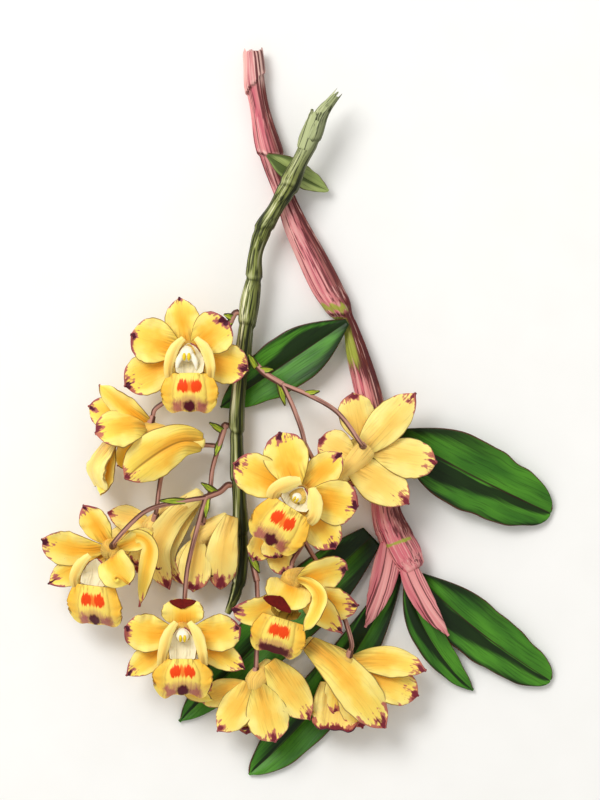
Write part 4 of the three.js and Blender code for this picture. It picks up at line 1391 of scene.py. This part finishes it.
BLOOMS = (
    Bloom(
        node="bloom_top", at=(-30, 16.8, 14.5), faces=(0, 0, 1), up=(0, 1, 0), chin=(0.5, -3, -12.5),
        stalk=(4.3, 1.6, -2.4), lip=Lip(shift=(0.8, 0, 0)),
        tepals=(
            sepal((-2.2, 14.9, -0.6), 9.8, curl=0.8, mark=0.2),
            petal((-15.4, 4.7, 1), 12.8, mark=0.2, lean=-0.2),
            petal((11.6, 8.2, 1), 12.4, mark=0.3, lean=-0.3),
            sepal((-17.2, -9.6, -1.2), 11.6, outline=Outline.PETAL, curl=0.8),
            sepal((16.9, -5.2, -1.2), 11.4, outline=Outline.PETAL, curl=0.8),
        ),
    ),
    Bloom(
        node="bloom_side_left", at=(-40.6, -4.9, 11.5), faces=(-0.95, -0.2, 0.25), up=(0, 1, 0),
        chin=(14.8, -3.4, -0.6), chin_width=0.85, column=0.4, stalk=(1.2, 4, 0.4),
        lip=Lip(
            size=0.8, shift=(-10.6, -2.4, 0.5), faces=(-0.9, 0.1, 0.42), up=(0.25, 1, 0), ears=False,
            mark=0,
        ),
        tepals=(
            sepal((-13.4, 12.7, 2.5), 7.6, facing=(-0.5, -0.3, 1), bow=1, mark=0.05),
            petal((-14.4, -0.6, 7), 12.8, bow=-1.5, mark=0.26, lean=-0.45),
            petal((-16.6, 6.8, -4.5), 9, facing=(-0.4, 0, 1), bow=1, mark=0.2),
            sepal(
                (-6.4, -13, 4.4), 13, facing=(0, 0.2, -1), foot=(15, -3.2, 0.4), outline=Outline.SPUR,
                via=((9.6, -2.7, 2.8), (4.6, -4.8, 3.8), (-0.4, -8.2, 4.4)), groove=-0.9, crease=0.8,
                mark=0.16,
            ),
            sepal((-8.6, -9.6, -5), 8, facing=(-0.3, 0, 1), outline=Outline.PETAL, mark=0.05),
            petal((-13, -17.6, 1.5), 5.4, foot=(-9.4, -4, 2.5), facing=(-0.5, 0, 1), mark=0),
        ),
    ),
    Bloom(
        node="bloom_back_right", at=(18.7, -9.9, 14.6), faces=(-0.2, -0.2, -1), up=(0.64, 0.77, 0),
        chin=(-8, -9, -0.8), stalk=(-1.1, 1.4, 4),
        lip=nodding_lip(0.7, (0.9, 0.9, -2), (-0.2, -0.2, -1), (0.7, 0.7, 0)), pale=0.55, column=0.55,
        tepals=(
            sepal((13.8, 15.5, -0.6), 10.5, foot=(-1.5, -0.8, 0.2)),
            petal((-3.6, 15.6, -0.8), 10.5),
            petal((19.6, -3.6, -1.2), 11.5),
            sepal((11.9, -15, 0.6), 12.4, foot=(-4.6, -4.6, 0.8), sway=1),
            sepal((-12.8, 2.8, -0.6), 10.5, foot=(-3, -2, 0.4), outline=Outline.PETAL),
        ),
    ),
    Bloom(
        node="bloom_middle", at=(0.6, -22, 22.5), faces=(-0.12, -0.15, 1), up=(0.54, 0.84, 0),
        chin=(-3.5, 1, -12.5), stalk=(0.8, 4.2, -3),
        lip=Lip(size=1.04, shift=(0.4, 0.2, 0), depth=0.6, bulge=0.9, reach=12.2, ear=4.2), column=0.55,
        tepals=(
            sepal((11.6, 11.3, -0.8), 9.4),
            petal((-5.5, 17, 0.4), 12.8),
            petal((16.2, -3.2, 0.4), 13),
            sepal((-18.1, 8.4, -1.4), 12, outline=Outline.PETAL, curl=0.6),
            sepal((9.8, -15, -1.2), 10.8, outline=Outline.PETAL, curl=0.6),
        ),
    ),
    Bloom(
        node="bloom_far_left", at=(-50.6, -37.1, 14.5), faces=(-0.3, -0.25, 0.9), up=(0.05, 1, 0.2),
        chin=(4, 1.5, -6.5), stalk=(0.8, 1.6, 4),
        lip=Lip(shift=(-3.2, -4.2, 0), sides=(-1,), depth=0.8, reach=12), column=0.35,
        scroll=(
            (4.6, -9, 7), (3, -7.6, 7.8), (1.6, -7, 8), (0.9, -7.8, 7.8), (1.6, -8.5, 7.7),
            (2.2, -8, 8),
        ),
        tepals=(
            sepal((-7.7, 12.2, 1), 8.6),
            petal((-19.1, 2.8, 1), 10, sway=-1.5),
            petal((5.2, -9.4, 6), 10.6, bow=4.6, roll=-10, mark=0.05),
            sepal((-17.4, -9.6, -1.5), 8.6, curl=0.6),
            sepal(
                (7.7, -15.8, -2), 5.2, via=((7.4, 4, 2.6), (10.6, 1.4, 2.4), (9.6, -6, 0.6)), mark=0.14,
            ),
            petal((11.4, 4.6, 0.8), 6, bow=1, mark=0),
        ),
    ),
    Bloom(
        node="bloom_pale_left", at=(-39.4, -31.8, 5), faces=(-0.5, -0.75, 0.35), up=(-0.6, 0.7, 0.3),
        hangs=True, chin=(12.8, 9.4, 0.4), chin_width=1.15, stalk=(0.8, 4.2, 3.8),
        lip=nodding_lip(0.65, (0, 0, 0), (-0.2, -0.3, -1), (0.2, 1, 0)), pale=0.6, column=0.5,
        tepals=(
            sepal((-12.6, 4.6, -0.6), 7.5),
            petal((-12.8, -5, -1.8), 9),
            petal((-4.6, -12, -1.6), 9),
            sepal(
                (4.4, -16.6, 0), 8, foot=(12.6, 9.2, 1.4), facing=(0.1, 0.1, -1), outline=Outline.SPUR,
                via=((5, 2.4, 3.8), (0.8, -6.6, 2.6)), mark=0.2,
            ),
            sepal(
                (8, -15.2, -3), 5.4, foot=(12.6, 8.2, 0), outline=Outline.SPUR,
                via=((6.8, -0.5, 1.6), (3.4, -8, 0)), mark=0.25,
            ),
        ),
    ),
    Bloom(
        node="bloom_pale_hanging", at=(-26.2, -33.4, 8.6), faces=(0.1, -0.85, -0.4), up=(-0.2, 0.4, 1),
        hangs=True, chin=(7, 4.6, -0.6), stalk=(0.6, 3.4, 1.6),
        lip=nodding_lip(0.62, (0, -1, -2), (0, -0.2, -1), (0, 1, 0)), pale=0.6, column=0.5,
        tepals=(
            sepal((-2.2, -15.6, 0.2), 9.4, outline=Outline.PETAL, mark=0.3, lobes=1),
            sepal(
                (5.2, -15, -2.2), 9.2, outline=Outline.SPUR, foot=(8.4, 5.4, 1.8),
                via=((6, -2.6, 3.2),), mark=0.3, lobes=1,
            ),
            petal((-5, -11, -1.6), 7),
            sepal((2.6, -12.6, -5), 8),
        ),
    ),
    Bloom(
        node="bloom_lower_left", at=(-31.1, -59.7, 14.5), faces=(0, -0.05, 1), up=(0, 1, 0),
        chin=(0, -3, -12.5), stalk=(0.2, 4, -2.6),
        lip=Lip(
            size=1.05, shift=(0, -0.7, 0), bulge=0.76, reach=9.6, jowl=1.9, outline=Outline.WAISTED_LIP,
        ),
        column=0.72,
        tepals=(
            sepal((0, 8.2, 1.4), 11.8, outline=Outline.HEART, bow=1.2, curl=0.6, jowl=1.2, mark=0.02),
            sepal(
                (0, 8.9, 1.2), 7.4, outline=Outline.FLAP, foot=(0, 6.5, 2.2), groove=0, wave=0,
                brick=True,
            ),
            petal((-16, 1.4, 0.8), 10.8, sway=-1, wave=1.1, mark=0.2),
            petal((15.9, 1.4, 0.8), 10.4, sway=1, wave=1.1, mark=0.2),
            sepal((-15.6, -12, -2), 8),
            sepal((17, -10.2, -2), 8),
            petal(
                (8.2, -18.8, -5.5), 4.8, foot=(-0.6, -2.6, -5), via=((0, -9, -5.4), (2, -16, -5.7)),
                mark=0,
            ),
        ),
    ),
    Bloom(
        node="bloom_lower_middle", at=(-1.6, -45.4, 19.5), faces=(-0.12, -0.5, 0.85), up=(0.1, 1, 0.3),
        chin=(6.5, 1.5, -10.5), stalk=(0.2, 3.4, -3),
        lip=Lip(
            size=0.98, shift=(-0.9, -7, -3), faces=(-0.1, -0.15, 1), up=(0.3, 1, 0.1), sides=(),
            depth=0.5, lobes=0.3, jowl=1.5, dark=True,
        ),
        column=0.3,
        tepals=(
            sepal((-2.6, -7.6, 5), 13.4, bow=3, outline=Outline.PETAL, mark=0.02),
            sepal(
                (-4.2, -7.1, 5.9), 8.8, outline=Outline.FLAP, foot=(-2.6, -4.2, 5.8), groove=0, wave=0,
                brick=True,
            ),
            petal((-16.3, -7.8, -0.6), 8.4, bow=1.6, sway=-3.4),
            petal((15.4, 3, 0.4), 10, bow=1.2, sway=-1.5),
            sepal((18.6, -6.8, -1.2), 10.4, outline=Outline.PETAL, sway=2.5),
            sepal((14.1, -14.5, -3), 8.5),
            petal(
                (3.4, -13.6, 4), 4.6, foot=(1.2, 0.4, 1.2),
                via=((5, -0.6, 4.6), (7.8, -4, 6.2), (6.4, -9, 6.2)), mark=0,
            ),
        ),
    ),
    Bloom(
        node="bloom_bottom_left", at=(-11.3, -73.4, 10.4), faces=(0.1, -0.8, -0.55), up=(0, 0.4, 1),
        hangs=True, chin=(3.6, 4.6, -3.9), stalk=(0.1, 3.8, 0.8),
        lip=nodding_lip(0.7, (0, -1.5, -2), (0, -0.2, -1), (0, 1, 0)), pale=0.25, column=0.4,
        tepals=(
            sepal((-10.6, -13.6, -0.4), 10, sway=1),
            sepal((5.4, -16.6, 0.8), 12, outline=Outline.PETAL),
            sepal((15, -10.6, -1), 11, foot=(3.8, 5.6, 1)),
            petal((-15.6, -5, -4.6), 8),
            petal((-2.6, -14.6, -3.4), 9),
        ),
    ),
    Bloom(
        node="bloom_bottom_right", at=(13.6, -68.8, 10.6), faces=(0.5, -0.6, -0.6), up=(0.9, 0.1, 0.1),
        hangs=True, chin=(-10.6, 5.8, -0.8), chin_width=1.15, stalk=(1, 4.2, 3.4),
        lip=nodding_lip(0.85, (-2, -4, -2), (0, -0.2, -1), (0.1, 1, 0)), pale=0.15, column=0.5,
        tepals=(
            sepal(
                (10.6, -17.3, 0.8), 12, foot=(-10.6, 6.2, 2.4), outline=Outline.SPUR,
                via=((-3.4, 0.4, 4), (4.4, -8.6, 3.4)),
            ),
            sepal((21.8, -1.6, 0.4), 9, sway=1.4),
            petal((19.8, -8.6, -1.8), 11.5),
            petal((4.4, -17.6, -3), 9.5),
            sepal((-3.2, -14, -4.5), 7.5),
        ),
    ),
    Bloom(
        node="bloom_behind", at=(-7.6, -31.5, 9.5), faces=(0.05, -0.6, 0.8), up=(0, 1, 0.3),
        chin=(-0.5, 3, -6), stalk=(-2.6, -2.2, -2.4),
        lip=nodding_lip(0.42, (1.2, -1, -2), (0, -0.2, -1), (0, 1, 0)), pale=0.3, column=0.3,
        tepals=(
            sepal((-4.2, -8.8, 1), 7.4, outline=Outline.PETAL),
            petal((1.6, -8.2, 1.6), 7),
            sepal((4.6, -13, -1.4), 7.6, outline=Outline.PETAL),
            petal((1, 7.5, 0), 7.5),
            sepal((8.6, 3, 0), 7),
        ),
    ),
)


# ---- sprays ------------------------------------------------------------------------------
BRACT_TRAITS = {"cup": 0.4, "bow": 0.3, "wave": 0.1, "rows": 14, "columns": 8, "tone": (0, 0, 0)}


@dataclass
class Raceme:
    """One spray: its stalk off the green cane, its pedicels and its bracts."""

    node: str
    y: float
    leave: Point
    rachis: Points
    pedicels: tuple[tuple[str, Points], ...]
    bracts: tuple[tuple[Point, Point, float], ...]

    def pedicel(self, bloom: Bloom, points: Points) -> Tube:
        """A pedicel that ends just short of its bloom's ovary and in line with it."""
        end, along = vec(bloom.at) + vec(bloom.stalk), unit(vec(bloom.stalk))
        path = [*points, tuple(end + along * (GAP + PEDICEL_RUN)), tuple(end + along * GAP)]
        return Tube(tuple((*p, PEDICEL_RADIUS) for p in path), sides=12, rings=60)

    def build(self, finishes: Finishes) -> None:
        """Make the spray and hand it over."""
        foot = beside_cane(FLOWERING_CANE, self.y, self.leave, 2 * GAP)
        outside = tuple(vec(foot) + unit(vec(self.leave)) * RACHIS_RADIUS)
        path = tuple((*p, RACHIS_RADIUS) for p in (foot, outside, *self.rachis))
        blooms = {bloom.node: bloom for bloom in BLOOMS}
        tubes = [Tube(path, sides=14, rings=40)]
        tubes += [self.pedicel(blooms[name], points) for name, points in self.pedicels]
        stalks = [tube.build("stalk", finishes.stalk) for tube in tubes]
        leaflets = [
            Blade(foot, tip, UP, width, Outline.BRACT, **BRACT_TRAITS)
            for foot, tip, width in self.bracts
        ]
        bracts = join([blade.build("bract", finishes.bract) for blade in leaflets], "bracts")
        thicken(bracts, BRACT_THICK)
        spray = join([*stalks, bracts], self.node.replace("raceme", "spray"))
        hand_over(spray, self.node)


RACEMES = (
    Raceme(
        node="raceme_top", y=28.5, leave=(-1, -0.3, 0), rachis=((-19, 23.5, 7.8), (-24, 17, 8)),
        pedicels=(
            ("bloom_top", ((-24, 17, 8), (-23.4, 18.4, 9.4))),
            ("bloom_side_left", ((-24, 17, 8), (-25.5, 10.5, 8), (-32, 5.6, 10))),
        ),
        bracts=(((-18, 25, 7.8), (-20.5, 23.4, 9.6), 1.8), ((-17.4, 26, 7.8), (-20, 27, 8.6), 1.8)),
    ),
    Raceme(
        node="raceme_right", y=15, leave=(1, -0.4, 0.5), rachis=((-9, 11, 10.4), (-4, 7.8, 12)),
        pedicels=(
            ("bloom_back_right", ((-4, 7.8, 12), (3, 5, 14), (11, 0.2, 17.8))),
            ("bloom_middle", ((-4, 7.8, 12), (-0.8, 1, 14), (2, -8, 16.5))),
            ("bloom_lower_middle", ((2, -8, 16.5), (6, -17, 13.2), (6, -27, 12), (2, -35, 13.2))),
            ("bloom_bottom_right", ((2, -35, 13.2), (8.5, -46, 11), (12.6, -55, 13))),
        ),
        bracts=(
            ((-11.2, 12.5, 9.7), (-13.2, 16.2, 11.4), 2), ((-10, 11.7, 10.1), (-6.4, 11.8, 11.6), 2),
            ((-5, 8.6, 11.8), (-3.2, 2, 11.2), 1.9), ((2.2, 5.3, 13.8), (6.2, 6, 14.8), 1.6),
        ),
    ),
    Raceme(
        node="raceme_left", y=-4, leave=(-1, 0.2, 0), rachis=((-20.2, -5, 7.6), (-21.4, -9, 8.6)),
        pedicels=(
            ("bloom_pale_hanging", ((-21.4, -9, 8.6), (-23.2, -15.6, 7.4), (-23.8, -21.5, 8.6))),
            (
                "bloom_pale_left",
                ((-21.4, -9, 8.6), (-25.4, -8.8, 5.4), (-32, -9.6, 4.6), (-36.4, -15, 6.4)),
            ),
        ),
        bracts=(
            ((-20.2, -5, 7.6), (-24, -2.6, 9.4), 1.9), ((-21, -7.6, 8.2), (-22.4, -11.8, 9.8), 1.9),
        ),
    ),
    Raceme(
        node="raceme_far_left", y=-19.4, leave=(-1, -0.1, 0.5),
        rachis=((-21, -21.4, 9.6), (-25, -23, 12.4)),
        pedicels=(
            ("bloom_far_left", ((-25, -23, 12.4), (-31, -24, 14.6), (-41, -26.6, 17.4))),
            ("bloom_lower_left", ((-25, -23, 12.4), (-27.4, -32, 12.8), (-30, -43, 12))),
        ),
        bracts=(
            ((-22, -21.8, 10.3), (-26.2, -19, 12.4), 2),
            ((-30.4, -24, 14.5), (-37.6, -23.8, 16.8), 1.9),
            ((-24.4, -23, 12), (-25, -28.6, 12.6), 1.8),
        ),
    ),
    Raceme(
        node="raceme_low", y=-36.5, leave=(1, -0.3, -0.2),
        rachis=((-12.2, -40.2, 5.6), (-11, -46, 7.2)),
        pedicels=(
            ("bloom_bottom_left", ((-11, -46, 7.2), (-10.6, -56, 8.6))),
            ("bloom_behind", ((-12.2, -40.2, 5.6), (-12.4, -37, 5.8))),
        ),
        bracts=(((-12.6, -39.2, 5.4), (-10.2, -43.8, 7.6), 2.2),),
    ),
)


# ---- studio ------------------------------------------------------------------------------
@dataclass
class Studio:
    """The pale floor, the soft light and the camera that looks straight down.

    What the camera frames is in millimetres, the floor and the lamp are in metres.
    """

    frame_height: float = 220.0
    centre: Pair = (0.825, 3.575)
    camera_height: float = 1600.0
    sensor: float = 36.0
    far_end: float = 20.0
    floor_size: float = 6.0
    floor_drop: float = 0.0002
    sky: tuple[float, float, float, float] = (1.0, 0.99, 0.97, 1.0)
    sky_strength: float = 0.66
    lamp_place: Point = (-0.45, 0.5, 0.9)
    lamp_size: float = 0.5
    lamp_power: float = 8.0

    def floor(self) -> None:
        """Lay the floor just under the cutting."""
        bpy.ops.object.select_all(action="DESELECT")
        bpy.ops.mesh.primitive_plane_add(size=self.floor_size, location=(0, 0, -self.floor_drop))
        plane = bpy.context.object
        plane.name = "floor"
        plane.data.materials.append(PlainFinish("floor_pale", "f7f6f3", "f1f0ec", 0.9, 60.0).make())

    def light(self) -> None:
        """Hang one large soft light over an even sky, and show colours as they are."""
        bpy.context.scene.view_settings.view_transform = "Standard"
        world = bpy.data.worlds.new("sky")
        world.use_nodes = True
        sky = world.node_tree.nodes["Background"]
        Board.set(sky, Color=self.sky, Strength=self.sky_strength)
        bpy.context.scene.world = world
        bpy.ops.object.light_add(type="AREA", location=self.lamp_place)
        lamp = bpy.context.object
        lamp.data.size = self.lamp_size
        lamp.data.energy = self.lamp_power
        aim = -vec(tuple(lamp.location))
        tilt = np.arctan2(np.hypot(*aim[:2]), -aim[2])
        lamp.rotation_euler = (float(tilt), 0, float(np.arctan2(aim[1], aim[0]) - np.pi / 2))

    def camera(self) -> None:
        """Set the camera over the cutting."""
        place = vec((*self.centre, self.camera_height)) * MM
        bpy.ops.object.camera_add(location=tuple(place))
        camera = bpy.context.object
        camera.rotation_euler = (0, 0, 0)
        camera.data.sensor_width = self.sensor
        camera.data.lens = self.sensor * self.camera_height / self.frame_height
        camera.data.clip_end = self.far_end
        bpy.context.scene.camera = camera


def main() -> None:
    """Build the cutting piece by piece."""
    logging.basicConfig(level=logging.INFO, format="%(name)s: %(message)s")
    studio = Studio()
    studio.camera()
    finishes = Finishes()
    LeafyCane().build(finishes)
    FloweringCane().build(finishes)
    for leaf in LEAVES:
        leaf.build(finishes)
    for raceme in RACEMES:
        raceme.build(finishes)
    for bloom in BLOOMS:
        bloom.build(finishes)
    studio.floor()
    studio.light()


if __name__ == "__main__":
    main()
